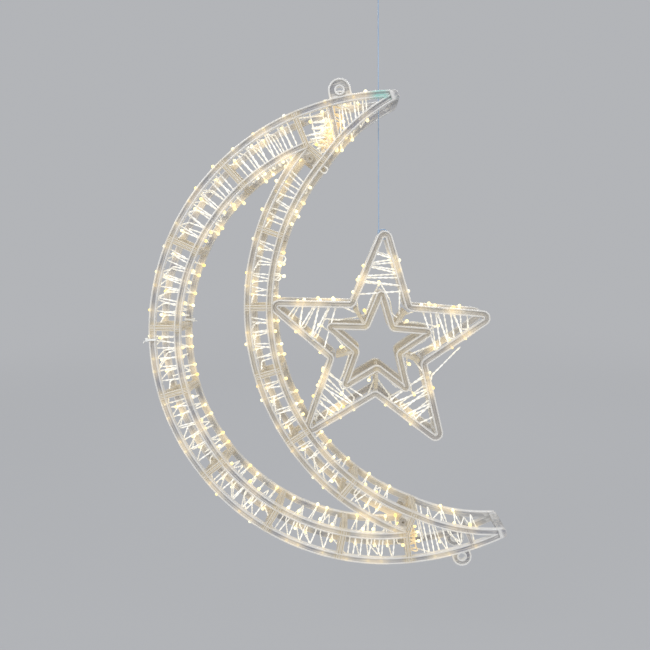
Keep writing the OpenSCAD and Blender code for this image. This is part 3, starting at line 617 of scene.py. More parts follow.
def add_glow(made):
    mesh = made.data
    places = np.empty(len(mesh.vertices) * 3, np.float32)
    mesh.vertices.foreach_get("co", places)
    places = places.reshape(-1, 3)
    glow = np.zeros(len(places), np.float32)
    for start in range(0, len(places), BATCH):
        part = places[start:start + BATCH]
        d2 = ((part[:, None, :] - lamp_centres[None, :, :]) ** 2).sum(2)
        glow[start:start + BATCH] = np.exp(-d2 / (2 * GLOW_REACH * GLOW_REACH)).sum(1)
    data = mesh.attributes.new("glow", "FLOAT", "POINT")
    data.data.foreach_set("value", np.minimum(glow, GLOW_MOST).astype(np.float32))


print("lamp centres:", len(lamp_centres))

# %% [markdown]
# ## Clear mouldings
# The frame is moulded from clear plastic that has gone slightly milky. Its middle
# looks blue-grey. Its lips and corners are coloured near-white, a painted
# highlight where the edges catch the light; whitish streaks along each rail are
# painted reflections; and near joints and on the warmer arms a cream tone with a
# faint glow is painted lamp light. A finish can't know where a rail's edge is, so
# every point of a moulding carries a few numbers: how near the edge it is, how
# near a joint it is, and a place that changes quickly across the rail and slowly
# along it.

# %% Finish of the mouldings
ALONG_SCALE = 0.03
LIP_FROM, LIP_TO = (HALF_T - 1.7) * MM, (HALF_T - 0.9) * MM


def moulding_finish():
    material, tree, shader = new_material("clear_moulding")
    cloud = noise(tree, 24.0, 3.0)
    run = node(tree, "ShaderNodeAttribute", attribute_name="run")
    reflection = node(tree, "ShaderNodeTexNoise", Scale=0.9, Detail=2.0)
    tree.links.new(run.outputs["Vector"], reflection.inputs["Vector"])
    streaks = reflection.outputs["Fac"]
    clouds = span(tree, cloud, 0.35, 0.65, 0.0, 1.0)
    body = mix_colours(tree, clouds, (0.15, 0.19, 0.33), (0.34, 0.37, 0.43))
    # Whitish streaks mixed into the body colour are painted reflections; the same noise also varies
    # roughness and bump.
    body = mix_colours(tree, span(tree, streaks, 0.48, 0.62, 0.0, 0.80), body, (0.78, 0.76, 0.72))
    # A cream tone near joints and on the warmer arms: painted warm lamp light.
    body = mix_colours(tree, attribute(tree, "warmth"), body, (0.72, 0.62, 0.42))
    place = node(tree, "ShaderNodeTexCoord")
    axes = node(tree, "ShaderNodeSeparateXYZ")
    tree.links.new(place.outputs["Object"], axes.inputs[0])
    depth = node(tree, "ShaderNodeMath", operation="ABSOLUTE")
    tree.links.new(axes.outputs["Y"], depth.inputs[0])
    # The lips and rounded corners are coloured near-white: a painted highlight, weaker where the moulding is
    # painted warm.
    lips = span(tree, depth.outputs[0], LIP_FROM, LIP_TO, 0.0, 1.0)
    lips = multiply(tree, lips, span(tree, attribute(tree, "edge"), 0.2, 0.55, 0.0, 1.0))
    corners = span(tree, attribute(tree, "edge"), 0.60, 0.97, 0.0, 1.0)
    edge_highlight = node(tree, "ShaderNodeMath", operation="MAXIMUM")
    tree.links.new(lips, edge_highlight.inputs[0])
    tree.links.new(corners, edge_highlight.inputs[1])
    calm = span(tree, attribute(tree, "warmth"), 0.0, 1.0, 1.0, 0.55)
    highlighted = mix_colours(tree, multiply(tree, edge_highlight.outputs[0], calm), body, (0.95, 0.94, 0.91))
    glow = attribute(tree, "glow")
    warm = mix_colours(tree, span(tree, glow, 0.1, 1.3, 0.0, 0.6), highlighted, (0.97, 0.83, 0.58))
    patchy = multiply(tree, attribute(tree, "tint"), span(tree, streaks, 0.44, 0.60, 0.1, 0.85))
    tinted = mix_colours(tree, patchy, warm, (0.30, 0.80, 0.70))
    tree.links.new(tinted, shader.inputs["Base Color"])
    tree.links.new(span(tree, streaks, 0.3, 0.7, 0.14, 0.30), shader.inputs["Roughness"])
    shader.inputs["Alpha"].default_value = 0.66
    shader.inputs["IOR"].default_value = 1.49
    shader.inputs["Emission Color"].default_value = (1.0, 0.80, 0.50, 1.0)
    # The plastic emits a little light near the lamps and where it is painted warm: a painted glow, since the
    # plastic is no lamp.
    lit = node(tree, "ShaderNodeMath", operation="ADD")
    tree.links.new(span(tree, glow, 0.2, 1.6, 0.0, 0.34), lit.inputs[0])
    tree.links.new(span(tree, attribute(tree, "warmth"), 0.1, 0.9, 0.0, 0.05), lit.inputs[1])
    tree.links.new(lit.outputs[0], shader.inputs["Emission Strength"])
    bump(tree, shader, streaks, 0.0003, 0.35)
    return material


MOULDING_MATERIAL = moulding_finish()
print(MOULDING_MATERIAL.name)


# %% Numbers that the moulding's finish reads
# JOINT_WARMTH sets the strength of the painted warm lamp light near a joint.
JOINT_REACH, JOINT_WARMTH = 8.0, 0.85
FAR_SHARE, FACE_SHARE = 1.25, 0.15


def nearest_lines(points, lines):
    share, across = np.full(len(points), 9.0), np.zeros(len(points))
    for line, closed, half in lines:
        ends = np.array(list(line) + ([line[0]] if closed else []))
        first, step = ends[:-1], np.diff(ends)
        gap = points[:, None] - first[None, :]
        t = np.clip((gap * step.conj()).real / abs(step) ** 2, 0.0, 1.0)
        off = gap - t * step
        pick = abs(off).argmin(1)
        rows = np.arange(len(points))
        near = abs(off[rows, pick]) / half
        side = np.sign((off[rows, pick] * step[pick].conj()).imag)
        better = near < share
        share[better] = near[better]
        across[better] = (side * near * half)[better]
    return share, across


def add_numbers(mesh, flat, lines, joints, base_warmth=0.0, tint=None, dim=None):
    points = flat[:, 0] + 1j * flat[:, 1]
    share, across = nearest_lines(points, lines)
    edge = np.where(share > FAR_SHARE, FACE_SHARE, np.minimum(share, 1.0))
    if dim is not None:
        edge = dim(points, abs(flat[:, 2]), edge)
    # Painted warm lamp light: a base share for each moulding, more near its joints.
    warmth = np.full(len(points), base_warmth)
    if joints:
        reach = nearest_lines(points, [(line, False, 1.0) for line in joints])[0]
        warmth = np.maximum(warmth, JOINT_WARMTH * np.exp(-(reach / JOINT_REACH) ** 2))
    tinted = np.zeros(len(points)) if tint is None else tint(points)
    for name, values in (("edge", edge), ("warmth", warmth), ("tint", tinted)):
        mesh.attributes.new(name, "FLOAT", "POINT").data.foreach_set("value", values.astype(np.float32))
    bend = (flat[:, 0] + flat[:, 1]) * ALONG_SCALE
    run = np.column_stack([bend, across, abs(flat[:, 2])]).astype(np.float32)
    mesh.attributes.new("run", "FLOAT_VECTOR", "POINT").data.foreach_set("vector", run.ravel())


print("flow lines are", round(1 / ALONG_SCALE, 1), "times longer than wide")

# %% [markdown]
# ### The section of a rail
# Every rail has the same section: two rounded lips with a channel between them.
# The corners of an outline are replaced by small arcs, which is what a mould
# cutter leaves and what makes the edges shine.

# %% Rounded outlines
def rounded(corners, radii, steps):
    count = len(corners)
    points = []
    for i, (p, r) in enumerate(zip(corners, radii)):
        if r <= 0:
            points.append(p)
            continue
        to_a, to_b = corners[i - 1] - p, corners[(i + 1) % count] - p
        d1, d2 = to_a / abs(to_a), to_b / abs(to_b)
        half = math.acos(max(-1.0, min(1.0, (d1 * d2.conjugate()).real))) / 2
        bisector = (d1 + d2) / abs(d1 + d2)
        centre = p + bisector * r / math.sin(half)
        first = p + d1 * r / math.tan(half) - centre
        last = p + d2 * r / math.tan(half) - centre
        sweep = cmath.phase(last / first)
        points += [centre + first * cmath.rect(1.0, sweep * k / steps) for k in range(steps + 1)]
    return points


def evened(outline, step):
    dense = []
    for p, q in zip(outline, outline[1:] + outline[:1]):
        pieces = max(1, round(abs(q - p) / step))
        dense += [p + (q - p) * k / pieces for k in range(pieces)]
    return dense


LIP_W = (RAIL_W - CHANNEL_W) / 2
FACE_POINT_SHARE = 0.62


def rail_section(drop):
    low, top, floor = RAIL_BACK + drop, HALF_T - drop, HALF_T - drop - CHANNEL_D
    side, lip = FACE_POINT_SHARE * RAIL_MID, RAIL_MID - LIP_W
    corners = [complex(-RAIL_MID, low), complex(-side, low), complex(0, low), complex(side, low),
               complex(RAIL_MID, low), complex(RAIL_MID, top), complex(lip, top), complex(lip, floor),
               complex(0, floor), complex(-lip, floor), complex(-lip, top), complex(-RAIL_MID, top)]
    return rounded(corners, [0.9, 0, 0, 0, 0.9, 0.9, 0.7, 0.7, 0, 0.7, 0.7, 0.9], 2)


def bar_section(width, low, top):
    half = width / 2
    groove, slope, dip = 0.42 * half, 0.22 * half, 0.8
    corners = [complex(-half, low), complex(0, low), complex(half, low), complex(half, top),
               complex(groove, top), complex(slope, top - dip), complex(-slope, top - dip),
               complex(-groove, top), complex(-half, top)]
    return rounded(corners, [0.5, 0, 0.5, 0.5, 0, 0, 0, 0, 0.5], 2)


def rim_section(width, low, top):
    half = width / 2
    corners = [complex(-half, low), complex(0, low), complex(half, low), complex(half, top),
               complex(0, top), complex(-half, top)]
    return rounded(corners, [0.3, 0, 0.3, 0.8, 0, 0.8], 2)


def section_curve(name, points):
    data = poly_curve(name, [(p.real, -p.imag, 0.0) for p in points])
    data.splines[0].use_cyclic_u = True
    return link_object(name, data)


RAIL_SECTION = section_curve("rail_section", rail_section(0.0))
LOW_RAIL_SECTION = section_curve("low_rail_section", rail_section(STEP_IN / 2))
BAR_SECTION = section_curve("bar_section", bar_section(END_T, BAR_BACK, BAR_TOP))
STRUT_SECTION = section_curve("strut_section", bar_section(STRUT_W, BAR_BACK, BAR_TOP - CHANNEL_D / 2))
print("points in a rail's section:", len(rail_section(0.0)))

# %% [markdown]
# ### A node tree that sweeps a section along a line
# Every rail is its section carried along a line in the drawing. Geometry Nodes
# do this well: the line becomes a curve whose normals stay level, and the section
# is swept along it. The same tree serves arcs, stars and the rims of the eyes.

# %% The sweeping tree
def tree_with_inputs(name, inputs):
    tree = bpy.data.node_groups.new(name, "GeometryNodeTree")
    tree.interface.new_socket(name="Geometry", in_out="INPUT", socket_type="NodeSocketGeometry")
    for label, kind, value in inputs:
        socket = tree.interface.new_socket(name=label, in_out="INPUT", socket_type=kind)
        if value is not None:
            socket.default_value = value
    tree.interface.new_socket(name="Geometry", in_out="OUTPUT", socket_type="NodeSocketGeometry")
    return tree, tree.nodes.new("NodeGroupInput"), tree.nodes.new("NodeGroupOutput")


def end_with_finish(tree, start, end, shape):
    realize = tree.nodes.new("GeometryNodeRealizeInstances")
    finish = tree.nodes.new("GeometryNodeSetMaterial")
    tree.links.new(shape, realize.inputs[0])
    tree.links.new(realize.outputs[0], finish.inputs["Geometry"])
    tree.links.new(start.outputs["Finish"], finish.inputs["Material"])
    tree.links.new(finish.outputs[0], end.inputs["Geometry"])


def set_inputs(modifier, values):
    for item in modifier.node_group.interface.items_tree:
        if item.item_type == "SOCKET" and item.in_out == "INPUT" and item.name in values:
            modifier[item.identifier] = values[item.name]


def grow(made, tree, values, name):
    modifier = made.modifiers.new("grow", "NODES")
    modifier.node_group = tree
    set_inputs(modifier, values)
    grown = baked_copy(made, name)
    discard(made)
    return grown


def sweep_tree():
    tree, start, end = tree_with_inputs("sweep_section", [
        ("Section", "NodeSocketObject", None), ("Finish", "NodeSocketMaterial", None)])
    to_curve = tree.nodes.new("GeometryNodeMeshToCurve")
    level = tree.nodes.new("GeometryNodeSetCurveNormal")
    level.mode = "Z_UP"
    section = tree.nodes.new("GeometryNodeObjectInfo")
    sweep = tree.nodes.new("GeometryNodeCurveToMesh")
    sweep.inputs["Fill Caps"].default_value = True
    tree.links.new(start.outputs["Geometry"], to_curve.inputs[0])
    tree.links.new(to_curve.outputs[0], level.inputs["Curve"])
    tree.links.new(start.outputs["Section"], section.inputs["Object"])
    tree.links.new(level.outputs[0], sweep.inputs["Curve"])
    tree.links.new(section.outputs["Geometry"], sweep.inputs["Profile Curve"])
    end_with_finish(tree, start, end, sweep.outputs[0])
    return tree


SWEEP = sweep_tree()


def swept(lines, section):
    points, edges = [], []
    for line, closed in lines:
        first = len(points)
        points += [(p.real, p.imag, 0.0) for p in line]
        edges += [(first + i, first + i + 1) for i in range(len(line) - 1)]
        if closed:
            edges.append((first + len(line) - 1, first))
    base = link_mesh("swept", points, edges)
    return grow(base, SWEEP, {"Section": section, "Finish": MOULDING_MATERIAL}, "swept")


STEP_ALONG = 5.0


def arc_line(centre, radius, start, end):
    count = max(2, math.ceil(abs(end - start) / arc_degrees(STEP_ALONG, radius)))
    return [centre + radius * unit(start + (end - start) * k / count) for k in range(count + 1)]


test_rail = swept([(arc_line(ORIGIN, OUTER_R - RAIL_MID, A_UP, A_UP + 20), False)], RAIL_SECTION)
test_z = [v.co.z for v in test_rail.data.vertices]
print("a rail lies between z =", round(min(test_z), 2), "and", round(max(test_z), 2))
discard(test_rail)

# %% [markdown]
# ### Bars, posts and plates
# The posts, webs, plates and lugs are flat pieces with slightly rounded edges.
# Each is an outline in the drawing, raised to a height and bevelled. The bars of
# the end frames are swept, as the rails are.

# %% Raised outlines
BEVEL, BEVEL_STEPS = 0.45, 2


def prism(outline, low, top, bevel=BEVEL):
    count = len(outline)
    points = [(p.real, p.imag, z) for z in (low, top) for p in outline]
    faces = [list(range(count))[::-1], list(range(count, 2 * count))]
    faces += [[i, (i + 1) % count, count + (i + 1) % count, count + i] for i in range(count)]
    made = link_mesh("prism", points, faces=faces)
    work = bmesh.new()
    work.from_mesh(made.data)
    bmesh.ops.recalc_face_normals(work, faces=work.faces)
    sharp = [e for e in work.edges if e.calc_face_angle(0.0) > math.radians(40)]
    if bevel > 0:
        bmesh.ops.bevel(work, geom=sharp, offset=bevel, segments=BEVEL_STEPS, profile=0.5, affect="EDGES")
    work.to_mesh(made.data)
    work.free()
    return made


def box_outline(centre, angle, r0, r1, half_w, shift=0.0):
    u = unit(angle)
    n = u * 1j
    return [centre + r0 * u + (shift - half_w) * n, centre + r1 * u + (shift - half_w) * n,
            centre + r1 * u + (shift + half_w) * n, centre + r0 * u + (shift + half_w) * n]


def disc_outline(centre, radius, count=32):
    return [centre + radius * unit(360 * k / count) for k in range(count)]


def bar_line(centre, a, r0, r1, side):
    shift = side * (SEAM / 2 + END_T / 2) * unit(a) * 1j
    return [centre + r0 * unit(a) + shift, centre + r1 * unit(a) + shift]


def end_frame(centre, a, r0, r1, side, posts):
    shift = side * (SEAM / 2 + END_T / 2)
    made = [swept([(bar_line(centre, a, r0 + SEAM, r1 - SEAM, side), False)], BAR_SECTION)]
    if posts[0]:
        made.append(prism(box_outline(centre, a, r0 + SEAM, r0 + SEAM + POST_IN, END_T / 2, shift),
                          0.0, POST_TOP))
    if posts[1]:
        made.append(prism(box_outline(centre, a, r1 - SEAM - POST_IN, r1 - SEAM, END_T / 2, shift),
                          0.0, POST_TOP))
    return made


print("bevel of the flat pieces:", BEVEL, "mm")

# %% [markdown]
# ### Joining the parts of one moulding
# A moulding is one solid on the real ornament. Its rails, bars and posts overlap
# here, so a boolean melts them together, and cuts the ends that rest against
# another arm. The back half is the front half seen in a mirror.

# %% Melting parts together
MERGE_BELOW = 0.004


def joined(parts, name):
    work = bmesh.new()
    for part in parts:
        work.from_mesh(part.data)
    mesh = bpy.data.meshes.new(name)
    bmesh.ops.recalc_face_normals(work, faces=work.faces)
    work.to_mesh(mesh)
    work.free()
    made = link_object(name, mesh)
    discard(*parts)
    return made


def boolean(made, tool, operation):
    modifier = made.modifiers.new("cut", "BOOLEAN")
    modifier.operation = operation
    modifier.solver = "EXACT"
    modifier.use_self = True
    modifier.object = tool
    result = baked_copy(made, made.name)
    discard(made, tool)
    return result


def tidy(made, name):
    work = bmesh.new()
    work.from_mesh(made.data)
    bmesh.ops.remove_doubles(work, verts=work.verts, dist=MERGE_BELOW)
    bmesh.ops.dissolve_degenerate(work, edges=work.edges, dist=MERGE_BELOW)
    bmesh.ops.recalc_face_normals(work, faces=work.faces)
    work.to_mesh(made.data)
    work.free()
    made.name = name
    made.data.name = name
    return made


SMOOTH_BELOW = math.radians(38)


def finish_piece(made, material, glow=True, smooth=True):
    mesh = made.data
    mesh.materials.clear()
    mesh.materials.append(material)
    mesh.polygons.foreach_set("material_index", [0] * len(mesh.polygons))
    if smooth:
        mesh.polygons.foreach_set("use_smooth", [True] * len(mesh.polygons))
        mesh.set_sharp_from_angle(angle=SMOOTH_BELOW)
    if glow:
        add_glow(made)
    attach(made, "root")
    return made


def even_normals(piece):
    modifier = piece.modifiers.new("even", "WEIGHTED_NORMAL")
    modifier.keep_sharp = True
    evened = baked_copy(piece, piece.name)
    name = piece.name
    discard(piece)
    evened.name = name
    return evened


def triangles_in(made):
    return sum(len(p.vertices) - 2 for p in made.data.polygons)


def both_halves(front, name, lines, joints=(), base_warmth=0.0, tint=None, dim=None):
    for side in ("front", "back"):
        mesh = front.data.copy()
        flat = np.empty(len(mesh.vertices) * 3, np.float64)
        mesh.vertices.foreach_get("co", flat)
        flat = flat.reshape(-1, 3)
        add_numbers(mesh, flat, lines, joints, base_warmth, tint if side == "front" else None, dim)
        if side == "back":
            flat[:, 2] *= -1
            mesh.flip_normals()
        mesh.vertices.foreach_set("co", stand(flat).ravel())
        mesh.update()
        piece = link_object(f"{name}_{side}_moulding", mesh)
        mesh.polygons.foreach_set("use_smooth", [True] * len(mesh.polygons))
        mesh.set_sharp_from_angle(angle=SMOOTH_BELOW)
        piece = even_normals(piece)
        finish_piece(piece, MOULDING_MATERIAL, smooth=False)
        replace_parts(piece, f"{name}_{side}")
    triangles = triangles_in(front)
    discard(front)
    return triangles


print("pieces turn sharp above", round(math.degrees(SMOOTH_BELOW)), "degrees")

# %% [markdown]
# ### The outer arm
# Eight sections follow the outer circle. Each has an outer and an inner rail and
# an end frame at both ends.

# %% Sections of the outer arm
# OUTER_WARMTH is the share of painted warm lamp light on the outer arm.
RAIL_HALF, BAR_HALF, OUTER_WARMTH = RAIL_W / 2, END_T / 2, 0.22
count = 0
for k in range(len(OUTER_SHARES) - 1):
    a0, a1 = OUTER_AT[k], OUTER_AT[k + 1]
    outer_line = arc_line(ORIGIN, OUTER_R - RAIL_MID, a0, a1)
    inner_line = arc_line(C1, IN_R + RAIL_MID, in_at(a0), in_at(a1))
    joints = [bar_line(ORIGIN, a, outer_in(a), OUTER_R, side) for a, side in ((a0, 1), (a1, -1))]
    rails = swept([(outer_line, False), (inner_line, False)], RAIL_SECTION)
    bars = end_frame(ORIGIN, a0, outer_in(a0), OUTER_R, 1, (True, True))
    bars += end_frame(ORIGIN, a1, outer_in(a1), OUTER_R, -1, (True, True))
    whole = boolean(joined([rails], "rails"), joined(bars, "bars"), "UNION")
    lines = [(outer_line, False, RAIL_HALF), (inner_line, False, RAIL_HALF)]
    lines += [(line, False, BAR_HALF) for line in joints]
    count += 2 * both_halves(tidy(whole, "section"), f"outer_{k + 1}", lines, joints, OUTER_WARMTH)
print("triangles in the outer arm:", count)

# %% [markdown]
# ### The inner arm
# Six sections follow the hollow. The first and the last run into the outer arm
# at a slant, where they are cut to its inner rail, and they carry a thin plate
# with a round boss for the screw that pulls the two halves together.

# %% Sections of the inner arm
BOSS_AT = (HOLLOW_R + FAR_R) / 2
# INNER_WARMTH is the share of painted warm lamp light on the inner arm.
INNER_WARMTH = 0.55


def screw_parts(b, side):
    plate = arc_degrees(PLATE_LEN, BOSS_AT)
    low_a, high_a = (b, b + plate) if side > 0 else (b - plate, b)
    outline = arc_line(C2, HOLLOW_R + RAIL_MID, low_a, high_a)
    outline += arc_line(C2, FAR_R - RAIL_MID, high_a, low_a)
    at = C2 + BOSS_AT * unit(b + side * arc_degrees(PLATE_LEN - BOSS_D / 2, BOSS_AT))
    plate_part = prism(outline, POST_TOP, SUNK, 0.0)
    boss = prism(disc_outline(at, BOSS_D / 2), HALF_T - BOSS_H, HALF_T, 0.6)
    hole = prism(disc_outline(at, SCREW_D / 2, 20), HALF_T - BOSS_H - 1, HALF_T + 1, 0.0)
    return [plate_part, boss], hole


count = 0
last_inner = len(INNER_SHARES) - 2
for k in range(len(INNER_SHARES) - 1):
    b0, b1 = INNER_AT[k], INNER_AT[k + 1]
    far_line = arc_line(C2, FAR_R - RAIL_MID, b0, b1)
    near_line = arc_line(C2, HOLLOW_R + RAIL_MID, b0, b1)
    joints = [bar_line(C2, b, HOLLOW_R, FAR_R, side) for b, side in ((b0, 1), (b1, -1))]
    rails = swept([(far_line, False), (near_line, False)], RAIL_SECTION)
    bars = end_frame(C2, b0, HOLLOW_R, FAR_R, 1, (True, True))
    bars += end_frame(C2, b1, HOLLOW_R, FAR_R, -1, (True, True))
    hole = None
    if k in (0, last_inner):
        extra, hole = screw_parts(b0 if k == 0 else b1, 1 if k == 0 else -1)
        bars += extra
    whole = boolean(joined([rails], "rails"), joined(bars, "bars"), "UNION")
    if hole is not None:
        whole = boolean(whole, hole, "DIFFERENCE")
        inside = prism(disc_outline(C1, IN_R - SEAM, 180), -1.0, HALF_T + 1, 0.0)
        whole = boolean(whole, inside, "INTERSECT")
    lines = [(far_line, False, RAIL_HALF), (near_line, False, RAIL_HALF)]
    lines += [(line, False, BAR_HALF) for line in joints]
    count += 2 * both_halves(tidy(whole, "section"), f"inner_{k + 1}", lines, joints, INNER_WARMTH)
print("triangles in the inner arm:", count)

# %% [markdown]
# ### The horns
# A horn closes to a blunt rounded end. Its eye is a lug with two raised rims, one
# round the hole and one along the edge, with a sunk face between them.

# %% Parts of a horn
def end_outline(end, tip, back_c, back_r, c, r, side, length, inset, round_r):
    q0 = back_c + (back_r - inset) * unit(direction(end - back_c) + side * arc_degrees(length, back_r))
    across = unit(direction(c - tip) + side * 90)
    q1 = end + inset * unit(direction(back_c - end)) + inset * across
    q2 = tip + inset * unit(direction(tip - c)) + inset * across
    q3 = c + (r + inset) * unit(direction(tip - c) + side * arc_degrees(length, r))
    return rounded([q0, q1, q2, q3], [0.0, round_r, round_r, 0.0], 5)


def horn_end(end, tip, back_c, back_r, c, r, side):
    cap = end_outline(end, tip, back_c, back_r, c, r, side, END_POST_LEN, 0.02, END_ROUND)
    post = end_outline(end, tip, back_c, back_r, c, r, side, END_POST_LEN - SEAM, END_INSET, END_ROUND / 2)
    return [prism(cap, BAR_BACK, BAR_TOP, 0.8), prism(post, 0.0, POST_TOP, 0.3)]


def lug_line(a, out, radius):
    u, centre = unit(a), (edge_r(a) + out) * unit(a)
    foot = edge_r(a) - RAIL_MID / 2
    right, left = foot * u - radius * u * 1j, foot * u + radius * u * 1j
    return [right, *[centre + radius * unit(a - 90 + 180 * k / 24) for k in range(25)], left]


LUG_PLATE_T, RIM_BACK, RIM_TOP = 1.8, 26.6, 30.2
END_REACH = 16.0


# These reshape the painted edge highlight on a horn: near its end the bar's depth band gets it and other
# faces lose it, and on the lug the rims get it and the sunk face hardly does.
def end_dimming(end, dim):
    def both(points, depth, edge):
        edge = dim(points, depth, edge)
        at_end = (abs(points - end) < END_REACH) & (edge <= FACE_SHARE)
        rim = (depth > BAR_BACK - 0.5) & (depth < BAR_TOP - 0.3)
        return np.where(at_end, np.where(rim, 0.9, 0.1), edge)

    return both


def lug_dimming(a, out, radius):
    centre = (edge_r(a) + out) * unit(a)

    def dim(points, depth, edge):
        on_lug = (abs(points - centre) < radius + 0.5) & (abs(points) > edge_r(a) + 0.3)
        rim = (depth < RIM_BACK) | (depth > RIM_TOP)
        return np.where(on_lug, np.where(rim, 1.0, 0.05), edge)

    return dim


def lug(a, out, radius):
    centre = (edge_r(a) + out) * unit(a)
    plate = prism(lug_line(a, out, radius - 0.4), SUNK - LUG_PLATE_T, SUNK, 0.3)
    rim = section_curve("rim_section", rim_section(EYE_RIM_W, BAR_BACK + 0.1, BAR_TOP))
    rims = swept([(lug_line(a, out, radius - EYE_RIM_W / 2), False),
                  (disc_outline(centre, EYE_HOLE_D / 2 + EYE_RIM_W / 2, 36), True)], rim)
    discard(rim)
    hole = prism(disc_outline(centre, EYE_HOLE_D / 2 + 0.02, 36), BAR_BACK - 2, HALF_T + 2, 0.0)
    return [plate, rims], hole


def strut(a, c, r):
    r0 = leaves_circle(ORIGIN, a, c, r + RAIL_MID)
    line = [r0 * unit(a), (edge_r(a) - RAIL_MID) * unit(a)]
    return swept([(line, False)], STRUT_SECTION), line


print("parts of a horn ready")

# %% The two horns
def joint_space(b, side):
    r0, r1 = HOLLOW_R - 1, HOLLOW_R - 1 + INNER_ARM_W - 2 * RAIL_W
    outline = box_outline(C2, b, r0, r1, INNER_ARM_W / 2, side * INNER_ARM_W / 2)
    return prism(outline, RAIL_BACK - 1, HALF_T + 1, 0.0)


def horn(name, side, end, tip, back_c, back_r, c, r, foot, a, b, eye, strut_a, tint=None):
    back_run, inner_run = arc_degrees(END_POST_LEN - SEAM, back_r), arc_degrees(END_POST_LEN - SEAM, r)
    end_a, tip_a, foot_a = (turn_up(direction(p)) for p in (end - back_c, tip - c, foot - c))
    outer_rail = arc_line(back_c, back_r - RAIL_MID, end_a + side * back_run, a)
    inner_rail = arc_line(c, r + RAIL_MID, tip_a + side * inner_run, foot_a)
    if side < 0:
        outer_rail, inner_rail = outer_rail[::-1], inner_rail[::-1]
    rails = swept([(outer_rail, False)], RAIL_SECTION)
    low_rails = swept([(inner_rail, False)], LOW_RAIL_SECTION)
    lug_parts, hole = lug(*eye)
    bars = end_frame(ORIGIN, a, outer_in(a), OUTER_R, -side, (True, True))
    bars += end_frame(C2, b, HOLLOW_R, FAR_R - RAIL_MID, -side, (True, False))
    bars += horn_end(end, tip, back_c, back_r, c, r, side)
    strut_part, strut_line = strut(strut_a, c, r)
    bars += [strut_part, low_rails, *lug_parts]
    whole = boolean(joined([rails], "rails"), joined(bars, "bars"), "UNION")
    whole = boolean(whole, hole, "DIFFERENCE")
    whole = boolean(whole, joint_space(b, side), "DIFFERENCE")
    joints = [bar_line(ORIGIN, a, outer_in(a), OUTER_R, -side), bar_line(C2, b, HOLLOW_R, FAR_R, -side)]
    lines = [(outer_rail, False, RAIL_HALF), (inner_rail, False, RAIL_HALF)]
    lines += [(strut_line, False, STRUT_W / 2)]
    lines += [(line, False, BAR_HALF) for line in joints]
    dim = end_dimming((end + tip) / 2, lug_dimming(*eye))
    return 2 * both_halves(tidy(whole, "horn"), name, lines, joints, 0.1, tint, dim)


TINT_LEN, TINT_FROM = 26.0, 8.0


def tip_tint(points):
    back = abs(points - UP_END)
    on_rail = abs(abs(points - UP_BACK) - UPPER_BACK_R + RAIL_MID) < RAIL_MID + 1
    rising, fading = np.clip((back - TINT_FROM) / 5, 0, 1), np.clip((TINT_LEN + 6 - back) / 8, 0, 1)
    return np.where(on_rail, rising * fading, 0.0)


count = horn("upper_horn", 1, UP_END, UP_TIP, UP_BACK, UPPER_BACK_R, UP_C, UP_R, UP_FOOT, A_UP, B_UP,
             (UPPER_EYE_AT, UPPER_EYE_OUT, UPPER_LUG_R), UPPER_STRUT_AT, tip_tint)
count += horn("lower_horn", -1, LOW_END, LOW_TIP, LOW_BACK, LOWER_BACK_R, LOW_C, LOW_R, LOW_FOOT,
              A_LOW, B_LOW, (LOWER_EYE_AT, LOWER_EYE_OUT, LOWER_LUG_R), LOWER_STRUT_AT)
print("triangles in the horns:", count)

# %% [markdown]
# ### The star
# The star is a ring of the same section that follows a star's outline, with round
# posts between its halves. A smaller star is held inside it by five webs.

# %% Star outlines and the two star mouldings
MID_VALLEY_ROUND = RAIL_MID + 0.8
# STAR_WARMTH and CORE_WARMTH are the shares of painted warm lamp light on the star.
STAR_WARMTH, CORE_WARMTH = 0.45, 0.6


def star_line(corner, valley, round_r):
    corners, radii = [], []
    for m in range(2 * STAR_POINTS):
        point = m % 2 == 0
        half = POINT_HALF if point else VALLEY_HALF
        r = (corner if point else valley) - RAIL_MID / sine(half)
        corners.append(STAR_C + r * unit(star_axis(m / 2)))
        radii.append(round_r - RAIL_MID if point else MID_VALLEY_ROUND)
    return evened(rounded(corners, radii, 6), STEP_ALONG)


valley_post = STAR_VALLEY_R - RAIL_MID / sine(VALLEY_HALF)
ring_line = star_line(STAR_CORNER_R, STAR_VALLEY_R, STAR_ROUND)
ring = swept([(ring_line, True)], RAIL_SECTION)
posts = []
for m in range(STAR_POINTS):
    posts.append(prism(disc_outline(star_post(m), POST_D / 2), 0.0, POST_TOP, 0.3))
    valley_at = STAR_C + valley_post * unit(star_axis(m) + VALLEY_STEP)
    posts.append(prism(disc_outline(valley_at, POST_D / 2), 0.0, POST_TOP, 0.3))
ring = boolean(joined([ring], "ring"), joined(posts, "posts"), "UNION")
hollow = prism(disc_outline(C2, HOLLOW_R - SEAT_GAP, 180), -1.0, HALF_T + 1, 0.0)
ring = boolean(ring, hollow, "INTERSECT")
count = 2 * both_halves(tidy(ring, "ring"), "star_ring", [(ring_line, True, RAIL_HALF)], (), STAR_WARMTH)

